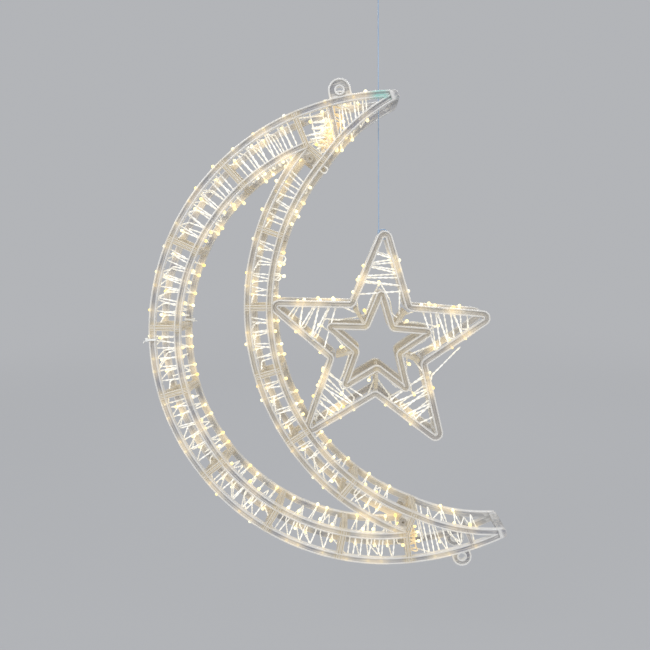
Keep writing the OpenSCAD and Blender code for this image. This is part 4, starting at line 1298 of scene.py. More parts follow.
core_line = star_line(CORE_CORNER_R, CORE_VALLEY_R, CORE_ROUND)
core = swept([(core_line, True)], RAIL_SECTION)
web_from = CORE_VALLEY_R - RAIL_MID / sine(VALLEY_HALF)
web_to = STAR_VALLEY_R - (RAIL_W + SEAT_GAP) / sine(VALLEY_HALF)
webs = [prism(box_outline(STAR_C, star_axis(m) + VALLEY_STEP, web_from, web_to, WEB_T / 2), WEB_WINDOW, SUNK)
        for m in range(STAR_POINTS)]
web_lines = [[STAR_C + r * unit(star_axis(m) + VALLEY_STEP) for r in (web_from, web_to)]
             for m in range(STAR_POINTS)]
core = boolean(joined([core], "core"), joined(webs, "webs"), "UNION")
core_lines = [(core_line, True, RAIL_HALF)]
count += 2 * both_halves(tidy(core, "core"), "star_core", core_lines, web_lines, CORE_WARMTH)
print("triangles in the star:", count)
discard(RAIL_SECTION, LOW_RAIL_SECTION, BAR_SECTION, STRUT_SECTION)

# %% [markdown]
# ## Lamp strings
# A lamp string is a pair of thin leads in clear sleeves, twisted round each
# other. They look almost white where they pass the lamps. The path gets rounded
# corners, and then two tubes wind round it.

# %% Finish of the leads
def wire_finish(name, dark, light, lit, low, high):
    material, tree, shader = new_material(name)
    cloud = noise(tree, 120.0, 3.0)
    colour = mix_colours(tree, cloud, dark, light)
    glow = attribute(tree, "glow")
    warm = mix_colours(tree, span(tree, glow, 0.15, 1.2, 0.0, 0.7), colour, lit)
    tree.links.new(warm, shader.inputs["Base Color"])
    tree.links.new(span(tree, cloud, 0.3, 0.7, 0.2, 0.38), shader.inputs["Roughness"])
    shader.inputs["IOR"].default_value = 1.53
    shader.inputs["Emission Color"].default_value = (*lit, 1.0)
    # Every lead emits a little light, more near the lamps: a painted glow, since the leads are no lamps.
    tree.links.new(span(tree, glow, 0.0, 1.4, low, high), shader.inputs["Emission Strength"])
    bump(tree, shader, cloud, 0.0002, 0.3)
    return material


WIRE_MATERIAL = wire_finish("clear_wire", (0.86, 0.86, 0.83), (0.99, 0.98, 0.95),
                            (1.0, 0.92, 0.72), 0.2, 0.5)
# The wound leads are coloured orange-cream and glow: painted warm lamp light on clear leads.
WARM_WIRE = wire_finish("warm_wire", (0.95, 0.77, 0.48), (1.0, 0.89, 0.66),
                        (1.0, 0.77, 0.42), 0.15, 0.45)
print(WIRE_MATERIAL.name, WARM_WIRE.name)

# %% The twisting tree
LEAD_R, LEAD_OFFSET, TWIST_PITCH, CORNER_ROUND, WIRE_STEP = 0.56, 0.50, 14.0, 2.4, 1.6
LEAD_SIDES = 6


def string_tree():
    tree, start, end = tree_with_inputs("twisted_leads", [
        ("Corner radius", "NodeSocketFloat", 0.002), ("Step", "NodeSocketFloat", 0.0015),
        ("Lead radius", "NodeSocketFloat", 0.0004), ("Lead offset", "NodeSocketFloat", 0.0004),
        ("Turns per metre", "NodeSocketFloat", 80.0), ("Sides", "NodeSocketInt", 6),
        ("Finish", "NodeSocketMaterial", None)])
    link = tree.links.new
    to_curve = tree.nodes.new("GeometryNodeMeshToCurve")
    fillet = tree.nodes.new("GeometryNodeFilletCurve")
    fillet.mode = "POLY"
    fillet.inputs["Count"].default_value = 3
    fillet.inputs["Limit Radius"].default_value = True
    even = tree.nodes.new("GeometryNodeResampleCurve")
    even.mode = "LENGTH"
    link(start.outputs["Geometry"], to_curve.inputs[0])
    link(to_curve.outputs[0], fillet.inputs["Curve"])
    link(start.outputs["Corner radius"], fillet.inputs["Radius"])
    link(fillet.outputs[0], even.inputs["Curve"])
    link(start.outputs["Step"], even.inputs["Length"])
    along = tree.nodes.new("GeometryNodeSplineParameter")
    turns = tree.nodes.new("ShaderNodeMath")
    turns.operation = "MULTIPLY"
    link(along.outputs["Length"], turns.inputs[0])
    link(start.outputs["Turns per metre"], turns.inputs[1])
    normal = tree.nodes.new("GeometryNodeInputNormal")
    tangent = tree.nodes.new("GeometryNodeInputTangent")
    join = tree.nodes.new("GeometryNodeJoinGeometry")
    ring = tree.nodes.new("GeometryNodeCurvePrimitiveCircle")
    link(start.outputs["Lead radius"], ring.inputs["Radius"])
    link(start.outputs["Sides"], ring.inputs["Resolution"])
    for phase in (0.0, math.pi):
        angle = tree.nodes.new("ShaderNodeMath")
        angle.operation = "MULTIPLY_ADD"
        angle.inputs[1].default_value = 2 * math.pi
        angle.inputs[2].default_value = phase
        link(turns.outputs[0], angle.inputs[0])
        turned = tree.nodes.new("ShaderNodeVectorRotate")
        link(normal.outputs[0], turned.inputs["Vector"])
        link(tangent.outputs[0], turned.inputs["Axis"])
        link(angle.outputs[0], turned.inputs["Angle"])
        scaled = tree.nodes.new("ShaderNodeVectorMath")
        scaled.operation = "SCALE"
        link(turned.outputs[0], scaled.inputs[0])
        link(start.outputs["Lead offset"], scaled.inputs["Scale"])
        shifted = tree.nodes.new("GeometryNodeSetPosition")
        link(even.outputs[0], shifted.inputs["Geometry"])
        link(scaled.outputs[0], shifted.inputs["Offset"])
        tube = tree.nodes.new("GeometryNodeCurveToMesh")
        tube.inputs["Fill Caps"].default_value = True
        link(shifted.outputs[0], tube.inputs["Curve"])
        link(ring.outputs[0], tube.inputs["Profile Curve"])
        link(tube.outputs[0], join.inputs[0])
    end_with_finish(tree, start, end, join.outputs[0])
    return tree


TWIST = string_tree()
STRING_VALUES = {"Corner radius": CORNER_ROUND * MM, "Step": WIRE_STEP * MM, "Lead radius": LEAD_R * MM,
                 "Lead offset": LEAD_OFFSET * MM, "Turns per metre": 1 / (TWIST_PITCH * MM),
                 "Sides": LEAD_SIDES, "Finish": WIRE_MATERIAL}
print("inputs:", ", ".join(STRING_VALUES))

# %% The three strings
def laid_leads(name, path, material, thicker=1.0):
    places = stand([(p.real, p.imag, z) for p, z in path])
    base = link_mesh(name, places, [(i, i + 1) for i in range(len(places) - 1)])
    values = {**STRING_VALUES, "Lead radius": thicker * LEAD_R * MM,
              "Lead offset": thicker * LEAD_OFFSET * MM, "Finish": material}
    leads = grow(base, TWIST, values, f"{name}_leads")
    finish_piece(leads, material)
    print(name, "triangles:", triangles_in(leads))
    return leads


for name, path, thicker in (("outer_string", outer_path, 1.0), ("inner_string", inner_path, 1.0),
                            ("star_string", star_path, 1.12)):
    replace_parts(laid_leads(name, path, WIRE_MATERIAL, thicker), name)

# %% [markdown]
# The lead between two lamps is longer than one turn, so the real strings go back
# over some stretches. This second pass runs a little further inside, with other
# spacing, and makes the cells between the strands as uneven as they really are.

# %% Second pass over the arms
PASS_PITCH, PASS_IN = 32.0, 1.9


def second_pass(spans, radius, lane_of, centre):
    paths = []
    for start, end in spans:
        count = max(1, round((end - start) / arc_degrees(PASS_PITCH, radius)))
        shift = (end - start) * 0.06
        path = []
        for a, out, z in lace(start + shift, end - shift, count):
            lane = lane_of(a, out) + (-PASS_IN if out else PASS_IN)
            path.append((centre + lane * unit(a), z - math.copysign(PASS_IN, z)))
        paths.append(leaning(path))
    return paths


passes = second_pass(outer_spans, OUTER_R, outer_lane, ORIGIN)
by_foot = turn_up(direction(LOW_FOOT))
foot_spans = [(by_foot + 0.2, by_foot + 1.2), (by_foot + 1.4, by_foot + 2.4)]
passes += second_pass(foot_spans, OUTER_R, outer_lane, ORIGIN)
passes += second_pass(inner_spans, HOLLOW_R,
                      lambda a, out: FAR_R - RAIL_MID if out else HOLLOW_R + RAIL_MID, C2)
for k, path in enumerate(passes):
    laid_leads(f"second_pass_{k + 1}", path, WIRE_MATERIAL)

# %% Slack loops beside the inner arm
def slack_loop(b, out, wide, z):
    lane = HOLLOW_R + RAIL_MID
    shape = [(lane + 2, -0.7), (lane - 5, -0.8), (lane - 4 - out * 0.7, -1.0), (lane - 4 - out, -0.4),
             (lane - 4 - out, 0.4), (lane - 4 - out * 0.6, 1.0), (lane - 4, 0.8), (lane + 2, 0.5)]
    return [(C2 + r * unit(b + w * wide), z) for r, w in shape]


SLACKS = [(B_UP + SLACK_SHARES[0] * (B_LOW - B_UP) - 0.8, 8.0, 0.95),
          (B_UP + SLACK_SHARES[1] * (B_LOW - B_UP), 6.0, 1.0), (B_UP + 1.6, 6.5, 0.9)]
for k, (b, out, wide) in enumerate(SLACKS):
    laid_leads(f"slack_loop_{k + 1}", slack_loop(b, out, wide, STRING_Z - 2), WIRE_MATERIAL)

# %% [markdown]
# Between the upper joint and its strut the spare lead is crossed by hand: one
# strand runs across the bay, and the others are hooked round it like a fan.

# %% Fan of leads in the upper horn
FAN_STEM = [(280.0, 108.7), (260.0, 109.0), (235.0, 109.4)]
FAN = [(266.5, 103.4), (267.6, 109.2), (260.9, 103.7), (260.5, 109.4), (255.5, 104.1), (254.5, 111.9),
       (250.2, 104.7), (248.9, 110.9), (244.0, 105.4), (236.3, 109.8), (238.0, 106.6)]
FAN_Z, HOOK = [20.5, -19.5], 3.6


def hooked(places, z):
    path = []
    for k, p in enumerate(places):
        depths = [z, z - math.copysign(HOOK, z)]
        path += [(p, depth) for depth in (depths if k % 2 == 0 else depths[::-1])]
    return path


for k, z in enumerate(FAN_Z):
    places = [p for p, _ in leaning([(r * unit(a), z) for r, a in FAN], 0.7)]
    stem = [(r * unit(a), z - math.copysign(HOOK / 2, z)) for r, a in FAN_STEM]
    laid_leads(f"fan_stem_{k + 1}", stem, WIRE_MATERIAL)
    laid_leads(f"fan_{k + 1}", hooked(places, z), WIRE_MATERIAL)
FAN_LAMPS_AT = (1, 2, 4, 6, 8)
lamp_feet = [FAN[k][0] * unit(FAN[k][1]) for k in FAN_LAMPS_AT]
fan_lamps = [((p.real, p.imag, FAN_Z[0]), (0.0, 0.0, 1.0)) for p in lamp_feet]

# %% [markdown]
# The star's string also goes round its inner ring on the way from point to point,
# and one strand hangs free across the valley between the two right points.

# %% Lacing of the star's inner ring, and the free strand
CORE_OUT, CORE_STATIONS = 6.0, 3
core_path, core_lamps = [], []
for m in range(2 * STAR_POINTS):
    ends = []
    for n in (m, m + 1):
        r, out_share = (CORE_CORNER_R, 0.6) if n % 2 == 0 else (CORE_VALLEY_R, 1.0)
        r += out_share * CORE_OUT * 0.5
        ends.append(STAR_C + r * unit(star_axis(n / 2)))
    for k in range(CORE_STATIONS):
        share = (k + 0.5) / CORE_STATIONS
        z = STRING_Z - 3 if (m * CORE_STATIONS + k) % 2 == 0 else 3 - STRING_Z
        p = ends[0] + (ends[1] - ends[0]) * share
        core_path.append((p, z))
        if z > 0 and k != 1:
            out = (p - STAR_C) / abs(p - STAR_C)
            core_lamps.append(lamp_at(p, z, out))
core_path = leaning(core_path, STAR_LEAN_MOST)
laid_leads("core_lacing", core_path, WIRE_MATERIAL)
FREE_STRAND = [(99.0, -1.0), (93.4, -4.6), (82.0, -16.0), (75.0, -29.0), (79.0, -37.0)]
laid_leads("free_strand", [(STAR_C + r * unit(a), STRING_Z) for r, a in FREE_STRAND], WIRE_MATERIAL)

# %% [markdown]
# ## Lamps
# Each lamp is a grain-shaped warm lamp in a short clear sleeve. Instances on
# points are made for this: every point carries the direction that its lamp faces,
# and one lens and one sleeve are repeated a few hundred times.

# %% Finishes of a lamp
def lamp_finish():
    material, tree, shader = new_material("warm_lamp")
    cloud = noise(tree, 45.0, 2.0)
    colour = mix_colours(tree, span(tree, cloud, 0.35, 0.65, 0.0, 1.0), (1.0, 0.72, 0.22), (1.0, 0.93, 0.60))
    tree.links.new(colour, shader.inputs["Base Color"])
    tree.links.new(colour, shader.inputs["Emission Color"])
    tree.links.new(span(tree, cloud, 0.3, 0.7, 1.0, 1.15), shader.inputs["Emission Strength"])
    shader.inputs["Roughness"].default_value = 0.18
    return material


def sleeve_finish():
    material, tree, shader = new_material("lamp_sleeve")
    cloud = noise(tree, 400.0, 2.0)
    # The clear sleeve is coloured warm and emits a little light: painted light of the lamp inside it.
    colour = mix_colours(tree, cloud, (0.98, 0.84, 0.52), (1.0, 0.94, 0.74))
    tree.links.new(colour, shader.inputs["Base Color"])
    tree.links.new(span(tree, cloud, 0.3, 0.7, 0.2, 0.4), shader.inputs["Roughness"])
    shader.inputs["Emission Color"].default_value = (1.0, 0.82, 0.5, 1.0)
    shader.inputs["Emission Strength"].default_value = 0.35
    bump(tree, shader, cloud, 0.0002, 0.3)
    return material


LAMP_MATERIAL, SLEEVE_MATERIAL = lamp_finish(), sleeve_finish()
print(LAMP_MATERIAL.name, SLEEVE_MATERIAL.name)

# %% One lens and one sleeve, turned from their profiles
LAMP_SIDES = 8
SLEEVE_SHARE, SLEEVE_D_SHARE = 0.4, 0.75


def turned(name, profile):
    points, faces = [], []
    rings = []
    for z, r in profile:
        if r <= 0:
            points.append((0.0, 0.0, z * MM))
            rings.append([len(points) - 1])
        else:
            rings.append(list(range(len(points), len(points) + LAMP_SIDES)))
            points += [(r * MM * math.cos(2 * math.pi * k / LAMP_SIDES),
                        r * MM * math.sin(2 * math.pi * k / LAMP_SIDES), z * MM) for k in range(LAMP_SIDES)]
    for low, top in zip(rings, rings[1:]):
        for k in range(LAMP_SIDES):
            n = (k + 1) % LAMP_SIDES
            quad = [low[k % len(low)], low[n % len(low)], top[n % len(top)], top[k % len(top)]]
            faces.append(list(dict.fromkeys(quad)))
    return link_mesh(name, points, faces=faces)


SLEEVE_IN, LENS_MORE = 1.5, 0.4
lamp_r, sleeve_r, sleeve_top = LAMP_D / 2 + LENS_MORE, SLEEVE_D_SHARE * LAMP_D / 2, SLEEVE_SHARE * LAMP_LEN
lens = turned("lens", [(sleeve_top - 0.5, 0.0), (sleeve_top - 0.5, lamp_r * 0.85),
                       (sleeve_top + 0.2, lamp_r), (LAMP_LEN * 0.72, lamp_r),
                       (LAMP_LEN * 0.88, lamp_r * 0.8), (LAMP_LEN * 0.97, lamp_r * 0.4),
                       (LAMP_LEN, 0.0)])
sleeve = turned("sleeve", [(-SLEEVE_IN, 0.0), (-SLEEVE_IN, sleeve_r * 0.7), (0.0, sleeve_r),
                           (sleeve_top * 0.7, sleeve_r),
                           (sleeve_top, sleeve_r * 0.9), (sleeve_top, 0.0)])
print("faces:", len(lens.data.polygons), "in a lens and", len(sleeve.data.polygons), "in a sleeve")

# %% The tree that sets one on every point
def lamp_tree():
    tree, start, end = tree_with_inputs("lamps_on_points", [
        ("Lamp", "NodeSocketObject", None), ("Size", "NodeSocketFloat", 1.0),
        ("Finish", "NodeSocketMaterial", None)])
    link = tree.links.new
    facing = tree.nodes.new("GeometryNodeInputNamedAttribute")
    facing.data_type = "FLOAT_VECTOR"
    facing.inputs["Name"].default_value = "facing"
    turn = tree.nodes.new("FunctionNodeAlignRotationToVector")
    turn.axis = "Z"
    link(facing.outputs["Attribute"], turn.inputs["Vector"])
    shape = tree.nodes.new("GeometryNodeObjectInfo")
    link(start.outputs["Lamp"], shape.inputs["Object"])
    repeat = tree.nodes.new("GeometryNodeInstanceOnPoints")
    link(start.outputs["Geometry"], repeat.inputs["Points"])
    link(shape.outputs["Geometry"], repeat.inputs["Instance"])
    link(turn.outputs[0], repeat.inputs["Rotation"])
    link(start.outputs["Size"], repeat.inputs["Scale"])
    end_with_finish(tree, start, end, repeat.outputs[0])
    return tree


ON_POINTS = lamp_tree()


def repeated(name, lamps, shape, material):
    feet = stand([np.array(foot) + LAMP_BASE * np.array(out) for foot, out in lamps])
    facing = [(out[0], -out[2], out[1]) for _, out in lamps]
    base = link_mesh(name, feet)
    data = base.data.attributes.new("facing", "FLOAT_VECTOR", "POINT")
    data.data.foreach_set("vector", np.array(facing, np.float32).ravel())
    return grow(base, ON_POINTS, {"Lamp": shape, "Size": 1.0, "Finish": material}, name)


for name, lamps in LAMPS.items():
    lenses = repeated(f"{name}_lenses", lamps, lens, LAMP_MATERIAL)
    finish_piece(lenses, LAMP_MATERIAL, glow=False)
    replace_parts(lenses, f"{name}_lamps")
    sleeves = repeated(f"{name}_sleeves", lamps, sleeve, SLEEVE_MATERIAL)
    finish_piece(sleeves, SLEEVE_MATERIAL, glow=False)
    print(name, "lamps:", len(lamps))

# %% [markdown]
# ## Windings at the horns
# Where a string ends, its spare length is wound round the nearest bars. That
# makes the warm clusters in the upper horn and at the lower joint: lamps sit in
# the windings, and the leads there are painted in warm lamp light. A winding is
# one path round a front and a back bar, and the same twisting tree dresses it.

# %% Winding round a pair of bars
WIND_STEP, WIND_Z, WIND_SIDE = 3.0, 21.5, 3.6


def winding(start, end, turns_out, spread):
    length = abs(end - start)
    u = (end - start) / length
    path, lamps = [], []
    count = CORNERS * max(3, round(length / WIND_STEP))
    for j in range(count):
        t = (j + 0.5) / count
        side = 1 if j % CORNERS in (0, 3) else -1
        z = WIND_Z if j % CORNERS < 2 else -WIND_Z
        wide = WIND_SIDE + spread * rng.random()
        p = start + u * min(length, max(0.0, t * length + rng.normal(0.0, 2.4))) + side * wide * u * 1j
        path.append((p, z + rng.normal(0.0, 1.5)))
        if j % turns_out == 0:
            lamps.append(lamp_at(p, path[-1][1], side * u * 1j))
    return path, lamps


def bar_ends(a, centre, r, low_share, top_share):
    r0, r1 = leaves_circle(ORIGIN, a, centre, r + RAIL_W), edge_r(a) - RAIL_W
    return [(r0 + (r1 - r0) * share) * unit(a) for share in (low_share, top_share)]


upper_low = UP_C + (UP_R + RAIL_W + 4) * unit(direction(UP_FOOT - UP_C) - 3.5)
upper_top = (edge_r(UPPER_STRUT_AT - 2.0) - RAIL_W - 2) * unit(UPPER_STRUT_AT - 2.0)
wound = {
    "upper_winding": (upper_low, upper_top),
    "lower_winding": bar_ends(A_LOW + 0.9, C1, IN_R - RAIL_W, 0.1, 0.95),
}
wound_lamps = core_lamps + fan_lamps
for name, (low_end, top_end) in wound.items():
    path, lamps = winding(low_end, top_end, 5, 4.5)
    laid_leads(name, path, WARM_WIRE)
    wound_lamps += lamps
for kind, shape, material in (("lenses", lens, LAMP_MATERIAL), ("sleeves", sleeve, SLEEVE_MATERIAL)):
    cluster = repeated(f"wound_{kind}", wound_lamps, shape, material)
    finish_piece(cluster, material, glow=False)
discard(lens, sleeve)
print("lamps in the windings:", len(wound_lamps))

# %% [markdown]
# ## Ties
# Nylon ties hold the star and two of the rails. Nylon is slightly yellow and
# satin. A band has fine teeth across it, a square head, and a tail that was cut
# off short and stayed bent.

# %% Finish of the ties
def tie_finish():
    material, tree, shader = new_material("white_nylon")
    cloud = noise(tree, 90.0, 3.0)
    colour = mix_colours(tree, cloud, (0.82, 0.82, 0.78), (0.95, 0.95, 0.92))
    tree.links.new(colour, shader.inputs["Base Color"])
    tree.links.new(span(tree, cloud, 0.3, 0.7, 0.35, 0.5), shader.inputs["Roughness"])
    shader.inputs["Subsurface Weight"].default_value = 0.1
    shader.inputs["Subsurface Radius"].default_value = (0.002, 0.002, 0.002)
    bump(tree, shader, noise(tree, 700.0, 2.0), 0.0001, 0.4)
    return material


TIE_MATERIAL = tie_finish()
print(TIE_MATERIAL.name)

# %% Parts of a tie
TIE_W, TIE_T, TIE_GAP, TAIL_LEN = 2.5, 1.0, 0.3, 6.0
TIE_JOINT, TIE_A_AT, TIE_D_AT, STAR_TIE_Z = 3, 14.7, -6.2, 12.0
HEAD_LEN, HEAD_OUT, TOOTH, TOOTH_STEP = 4.4, 3.0, 0.18, 0.9
GRIP = TIE_GAP + TIE_T / 2


def strip(path, side, closed=False):
    path, side = [Vector(p) for p in path], Vector(side).normalized()
    count, points, faces = len(path), [], []
    for i, p in enumerate(path):
        before = path[i - 1] if closed or i else p
        after = path[(i + 1) % count] if closed or i < count - 1 else p
        across = (after - before).normalized().cross(side)
        thick = TIE_T / 2 - (TOOTH if i % 2 else 0.0)
        points += [p + side * w * TIE_W / 2 + across * t for w, t in
                   ((-1, -TIE_T / 2), (1, -TIE_T / 2), (1, thick), (-1, thick))]
    for i in range(count if closed else count - 1):
        a, b = 4 * i, 4 * ((i + 1) % count)
        faces += [[a + k, a + (k + 1) % 4, b + (k + 1) % 4, b + k] for k in range(4)]
    if not closed:
        faces += [[3, 2, 1, 0], [4 * count - 4 + k for k in range(4)]]
    return link_mesh("strip", points, faces=faces)


def block(centre, u, half):
    axis = unit(u)
    outline = [centre + axis * complex(x, y) for x, y in
               ((-half[0], -half[1]), (half[0], -half[1]), (half[0], half[1]), (-half[0], half[1]))]
    return prism(outline, -half[2], half[2], 0.5)


def lifted(part, z):
    for vertex in part.data.vertices:
        vertex.co.z += z
    return part


def hull(points):
    points = sorted(set((round(p.real, 4), round(p.imag, 4)) for p in points))

    def half(seq):
        chain = []
        for p in seq:
            while len(chain) > 1 and ((chain[-1][0] - chain[-2][0]) * (p[1] - chain[-2][1])
                                      - (chain[-1][1] - chain[-2][1]) * (p[0] - chain[-2][0])) <= 0:
                chain.pop()
            chain.append(p)
        return chain[:-1]

    return [complex(*p) for p in half(points) + half(points[::-1])]


def finish_tie(parts, name):
    tie = joined(parts, name)
    places = np.empty(len(tie.data.vertices) * 3)
    tie.data.vertices.foreach_get("co", places)
    tie.data.vertices.foreach_set("co", stand(places).ravel())
    tie.data.update()
    tie.name = tie.data.name = f"{name}_nylon"
    finish_piece(tie, TIE_MATERIAL, glow=False)
    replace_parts(tie, name)
    print(name, "faces:", len(tie.data.polygons))


# %% Ties that hold the star
def star_tie(joint, m):
    b, post = INNER_AT[joint], star_post(m)
    arm = C2 + (HOLLOW_R + RAIL_MID) * unit(b)
    away = cmath.phase(post - arm)
    u = cmath.rect(1.0, away)
    side = END_T + SEAM / 2 + GRIP
    wide = POST_IN / 2 + GRIP
    corners = [arm + unit(b) * complex(x, y)
               for x, y in ((-wide, -side), (wide, -side), (wide, side), (-wide, side))]
    outline = evened(hull(disc_outline(post, POST_D / 2 + GRIP, 24) + corners), TOOTH_STEP)
    if len(outline) % 2:
        outline = outline[:-1]
    parts = []
    for z in (STAR_TIE_Z, -STAR_TIE_Z):
        parts.append(strip([(p.real, p.imag, z) for p in outline], (0, 0, 1), closed=True))
        head = post + u * (POST_D / 2 + TIE_GAP + TIE_T / 2 + (HEAD_OUT + TIE_T / 2) / 2)
        half = ((HEAD_OUT + TIE_T / 2) / 2, HEAD_LEN / 2, HEAD_LEN / 2)
        parts.append(lifted(block(head, math.degrees(away), half), z))
        tail = []
        for k in range(9):
            out = POST_D / 2 + TIE_GAP + HEAD_OUT - 1 + (TAIL_LEN + TIE_T + 1) * k / 8
            p = post + u * complex(out, 0.5 * (k / 8) ** 2)
            tail.append((p.real, p.imag, z))
        parts.append(strip(tail, (0, 0, 1)))
    return parts


finish_tie(star_tie(2, 1), "star_tie_upper")
finish_tie(star_tie(4, 2), "star_tie_lower")

# %% Ties round two rails
def rail_tie(centre, r, a, z0, out, droop):
    u = unit(a)
    x0, x1, z_low, z_top = -GRIP, RAIL_W + GRIP, z0 - GRIP, z0 + RAIL_T + GRIP
    corners = [complex(x0, z_low), complex(x1, z_low), complex(x1, z_top), complex(x0, z_top)]
    loop = evened(rounded(corners, [0.8] * 4, 3), TOOTH_STEP)
    if len(loop) % 2:
        loop = loop[:-1]
    tangent = u * 1j

    def place(x, z, along=0.0):
        p = centre + (r + x) * u + along * tangent
        return (p.real, p.imag, z)

    parts = [strip([place(q.real, q.imag) for q in loop], (tangent.real, tangent.imag, 0.0), closed=True)]
    head_x = RAIL_W + TIE_GAP + TIE_T / 2 + HEAD_OUT / 2 if out > 0 else -TIE_GAP - TIE_T / 2 - HEAD_OUT / 2
    middle = z0 + RAIL_T / 2
    head = place(head_x, middle)
    parts.append(lifted(block(complex(head[0], head[1]), a, (HEAD_OUT / 2, HEAD_LEN / 2, HEAD_LEN / 2)),
                        middle + HEAD_LEN / 2))
    tail, first = [], RAIL_W + TIE_GAP + 0.5 if out > 0 else -TIE_GAP - 0.5
    for k in range(11):
        t = k / 10
        reach = TAIL_LEN * (math.sin(math.radians(90 * t)) if droop else t)
        tail.append(place(first + out * reach, middle + TIE_W / 2, HEAD_LEN / 2 - TIE_T + droop * t ** 3))
    parts.append(strip(tail, (0, 0, 1)))
    return parts


tie_a = OUTER_AT[TIE_JOINT]
tie_d = in_at(tie_a) + arc_degrees(TIE_D_AT, IN_R)
parts = rail_tie(ORIGIN, OUTER_R - RAIL_W, tie_a + arc_degrees(TIE_A_AT, OUTER_R), RAIL_BACK, 1, 3.2)
parts += rail_tie(C1, IN_R, tie_d, -HALF_T, -1, 0.0)
finish_tie(parts, "rail_ties")

# %% [markdown]
# ## Knots of the line
# The line ends in a loop round the star's upper post, and overhead in a loop for
# a hook. A fishing knot is the line wound a few times round itself, so each knot
# is a tube along a tight helix.

# %% Tubes along a path, and the two knots
KNOT_D, KNOT_LEN, LOOP_R, LOOP_SLACK, PULL_DIR = 3.2, 4.4, 7.0, 1.6, 125.0
KNOT_TURNS, KNOT_STEPS = 4, 14
LOOP_STEPS, LOOP_LEAN = 40, 0.5


def tube(name, points):
    data = poly_curve(name, [Vector(p) * MM for p in points])
    data.bevel_depth = LINE_D / 2 * MM
    data.bevel_resolution = 2
    data.use_fill_caps = True
    curve = link_object(name, data)
    made = baked_copy(curve, name)
    discard(curve)
    return made


def knot_points(x, y, low):
    points = []
    for k in range(KNOT_TURNS * KNOT_STEPS + 1):
        t = k / (KNOT_TURNS * KNOT_STEPS)
        angle = 2 * math.pi * KNOT_TURNS * t
        wide = (KNOT_D - LINE_D) / 2 * (0.8 + 0.2 * math.sin(math.pi * t))
        points.append((x + wide * math.cos(angle), y + wide * math.sin(angle),
                       low + LINE_D / 2 + (KNOT_LEN - LINE_D) * t))
    return points


def loop_points(x, z, radius, start):
    return [(x + radius * math.cos(start + 2 * math.pi * k / LOOP_STEPS),
             LOOP_LEAN * math.cos(math.pi * k / LOOP_STEPS),
             z + radius * math.sin(start + 2 * math.pi * k / LOOP_STEPS)) for k in range(LOOP_STEPS + 1)]


foot, top = LINE_ROUTE[0], LINE_ROUTE[-1]
ring_at = star_post(0) - UPPER_EYE + LOOP_SLACK * unit(PULL_DIR)
ring_r = POST_D / 2 + TIE_GAP + LINE_D / 2 + LOOP_SLACK
upright = math.pi / 2
parts = [tube("turns", knot_points(foot[0], 0.0, foot[2] - KNOT_LEN)),
         tube("core", [(foot[0], 0, foot[2] - KNOT_LEN), (foot[0], 0, foot[2])]),
         tube("round", loop_points(ring_at.real, ring_at.imag, ring_r, upright))]
knot = joined(parts, "hang_knot_line")
parts = [tube("turns", knot_points(top[0], 0.0, top[2])),
         tube("core", [(top[0], 0, top[2]), (top[0], 0, top[2] + KNOT_LEN)]),
         tube("round", loop_points(top[0], top[2] + KNOT_LEN + LOOP_R, LOOP_R, -upright))]
loop = joined(parts, "hang_loop_line")
for piece, replaced in ((knot, "hang_knot"), (loop, "hang_loop")):
    finish_piece(piece, LINE_MATERIAL, glow=False)
    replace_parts(piece, replaced)
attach(line, "root")
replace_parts(line, "hang_line")
print("turns in a knot:", KNOT_TURNS)

# %% [markdown]
# ## Floor, light and background
# The ornament hangs over a plain pale floor that curves up into the backdrop, as
# in a studio, so no line crosses the picture. Wide soft lamps light it evenly, and
# the grey is a little darker than the white leads, so that they stand out. Near
# the ornament the floor keeps its shadow, and further off it is the plain colour.

# %% Floor and backdrop in one sweep
FLOOR_Z, FLOOR_HALF, BACK_FROM, BACK_TOP = -0.74, 14.0, 2.6, 5.0
SWEEP_R, SWEEP_STEPS = 1.6, 12
PALE = (0.45, 0.46, 0.48)
PLAIN_SHARE, PLAIN_FROM, PLAIN_TO = 0.8, 1.3, 3.6


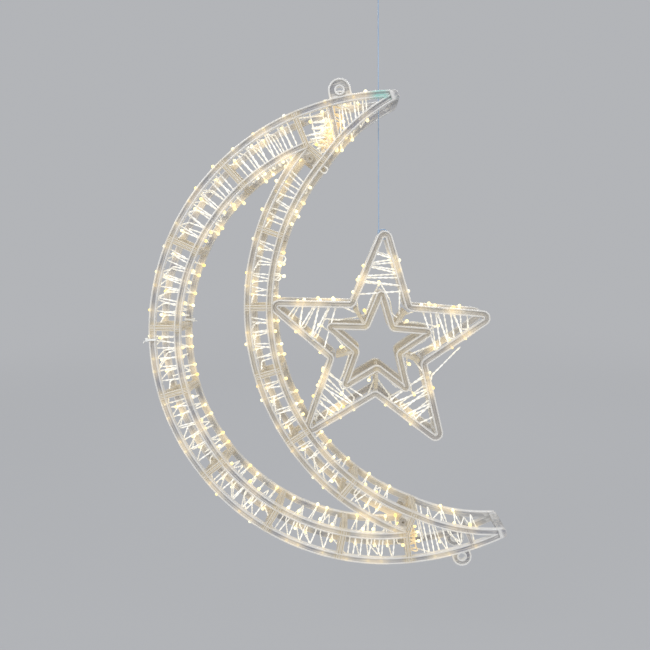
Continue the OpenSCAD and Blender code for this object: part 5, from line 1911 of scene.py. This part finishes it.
def floor_finish():
    material, tree, shader = new_material("pale_floor")
    cloud = noise(tree, 1.5, 2.0)
    colour = mix_colours(tree, cloud, tuple(0.98 * c for c in PALE), tuple(1.02 * c for c in PALE))
    tree.links.new(colour, shader.inputs["Base Color"])
    shader.inputs["Roughness"].default_value = 0.9
    shader.inputs["Specular IOR Level"].default_value = 0.1
    plain = node(tree, "ShaderNodeEmission", Color=(*PALE, 1.0), Strength=1.0)
    path = node(tree, "ShaderNodeLightPath")
    seen = None
    for label in ("Is Camera Ray", "Is Glossy Ray", "Is Transmission Ray"):
        if seen is None:
            seen = path.outputs[label]
            continue
        more = node(tree, "ShaderNodeMath", operation="MAXIMUM")
        tree.links.new(seen, more.inputs[0])
        tree.links.new(path.outputs[label], more.inputs[1])
        seen = more.outputs[0]
    place = node(tree, "ShaderNodeTexCoord")
    far = node(tree, "ShaderNodeVectorMath", operation="LENGTH")
    tree.links.new(place.outputs["Object"], far.inputs[0])
    plain_share = span(tree, far.outputs["Value"], PLAIN_FROM, PLAIN_TO, PLAIN_SHARE, 1.0)
    mix = node(tree, "ShaderNodeMixShader")
    tree.links.new(multiply(tree, seen, plain_share), mix.inputs[0])
    tree.links.new(shader.outputs[0], mix.inputs[1])
    tree.links.new(plain.outputs[0], mix.inputs[2])
    tree.links.new(mix.outputs[0], tree.nodes["Material Output"].inputs["Surface"])
    return material


profile = [(-FLOOR_HALF, FLOOR_Z)]
for k in range(SWEEP_STEPS + 1):
    angle = math.radians(90 * k / SWEEP_STEPS)
    profile.append((BACK_FROM + SWEEP_R * math.sin(angle), FLOOR_Z + SWEEP_R * (1 - math.cos(angle))))
profile.append((BACK_FROM + SWEEP_R, BACK_TOP))
points = [(x, y, z) for y, z in profile for x in (-FLOOR_HALF, FLOOR_HALF)]
faces = [(2 * i, 2 * i + 1, 2 * i + 3, 2 * i + 2) for i in range(len(profile) - 1)]
floor = link_mesh("floor_and_backdrop", points, faces=faces)
floor.data.materials.append(floor_finish())
floor.data.polygons.foreach_set("use_smooth", [True] * len(floor.data.polygons))
print("floor at", FLOOR_Z)

# %% World and soft lamps
world = bpy.data.worlds.new("studio")
bpy.context.scene.world = world
world.use_nodes = True
background = world.node_tree.nodes["Background"]
background.inputs["Color"].default_value = (*PALE, 1.0)
background.inputs["Strength"].default_value = 1.0


def soft_lamp(name, place, target, size, watts):
    data = bpy.data.lights.new(name, "AREA")
    data.shape = "DISK"
    data.size = size
    data.energy = watts
    lamp = link_object(name, data)
    lamp.location = place
    lamp.rotation_mode = "QUATERNION"
    lamp.rotation_quaternion = (Vector(target) - Vector(place)).to_track_quat("-Z", "Y")


MIDDLE = (0.0, 0.0, -0.28)
soft_lamp("key_lamp", (-1.4, -1.8, 1.0), MIDDLE, 1.4, 34.0)
soft_lamp("fill_lamp", (1.6, -1.5, 0.4), MIDDLE, 1.6, 18.0)
soft_lamp("back_lamp", (0.3, 1.8, 1.1), MIDDLE, 1.2, 16.0)
bpy.context.scene.view_settings.view_transform = "Standard"
print("lamps and world ready")
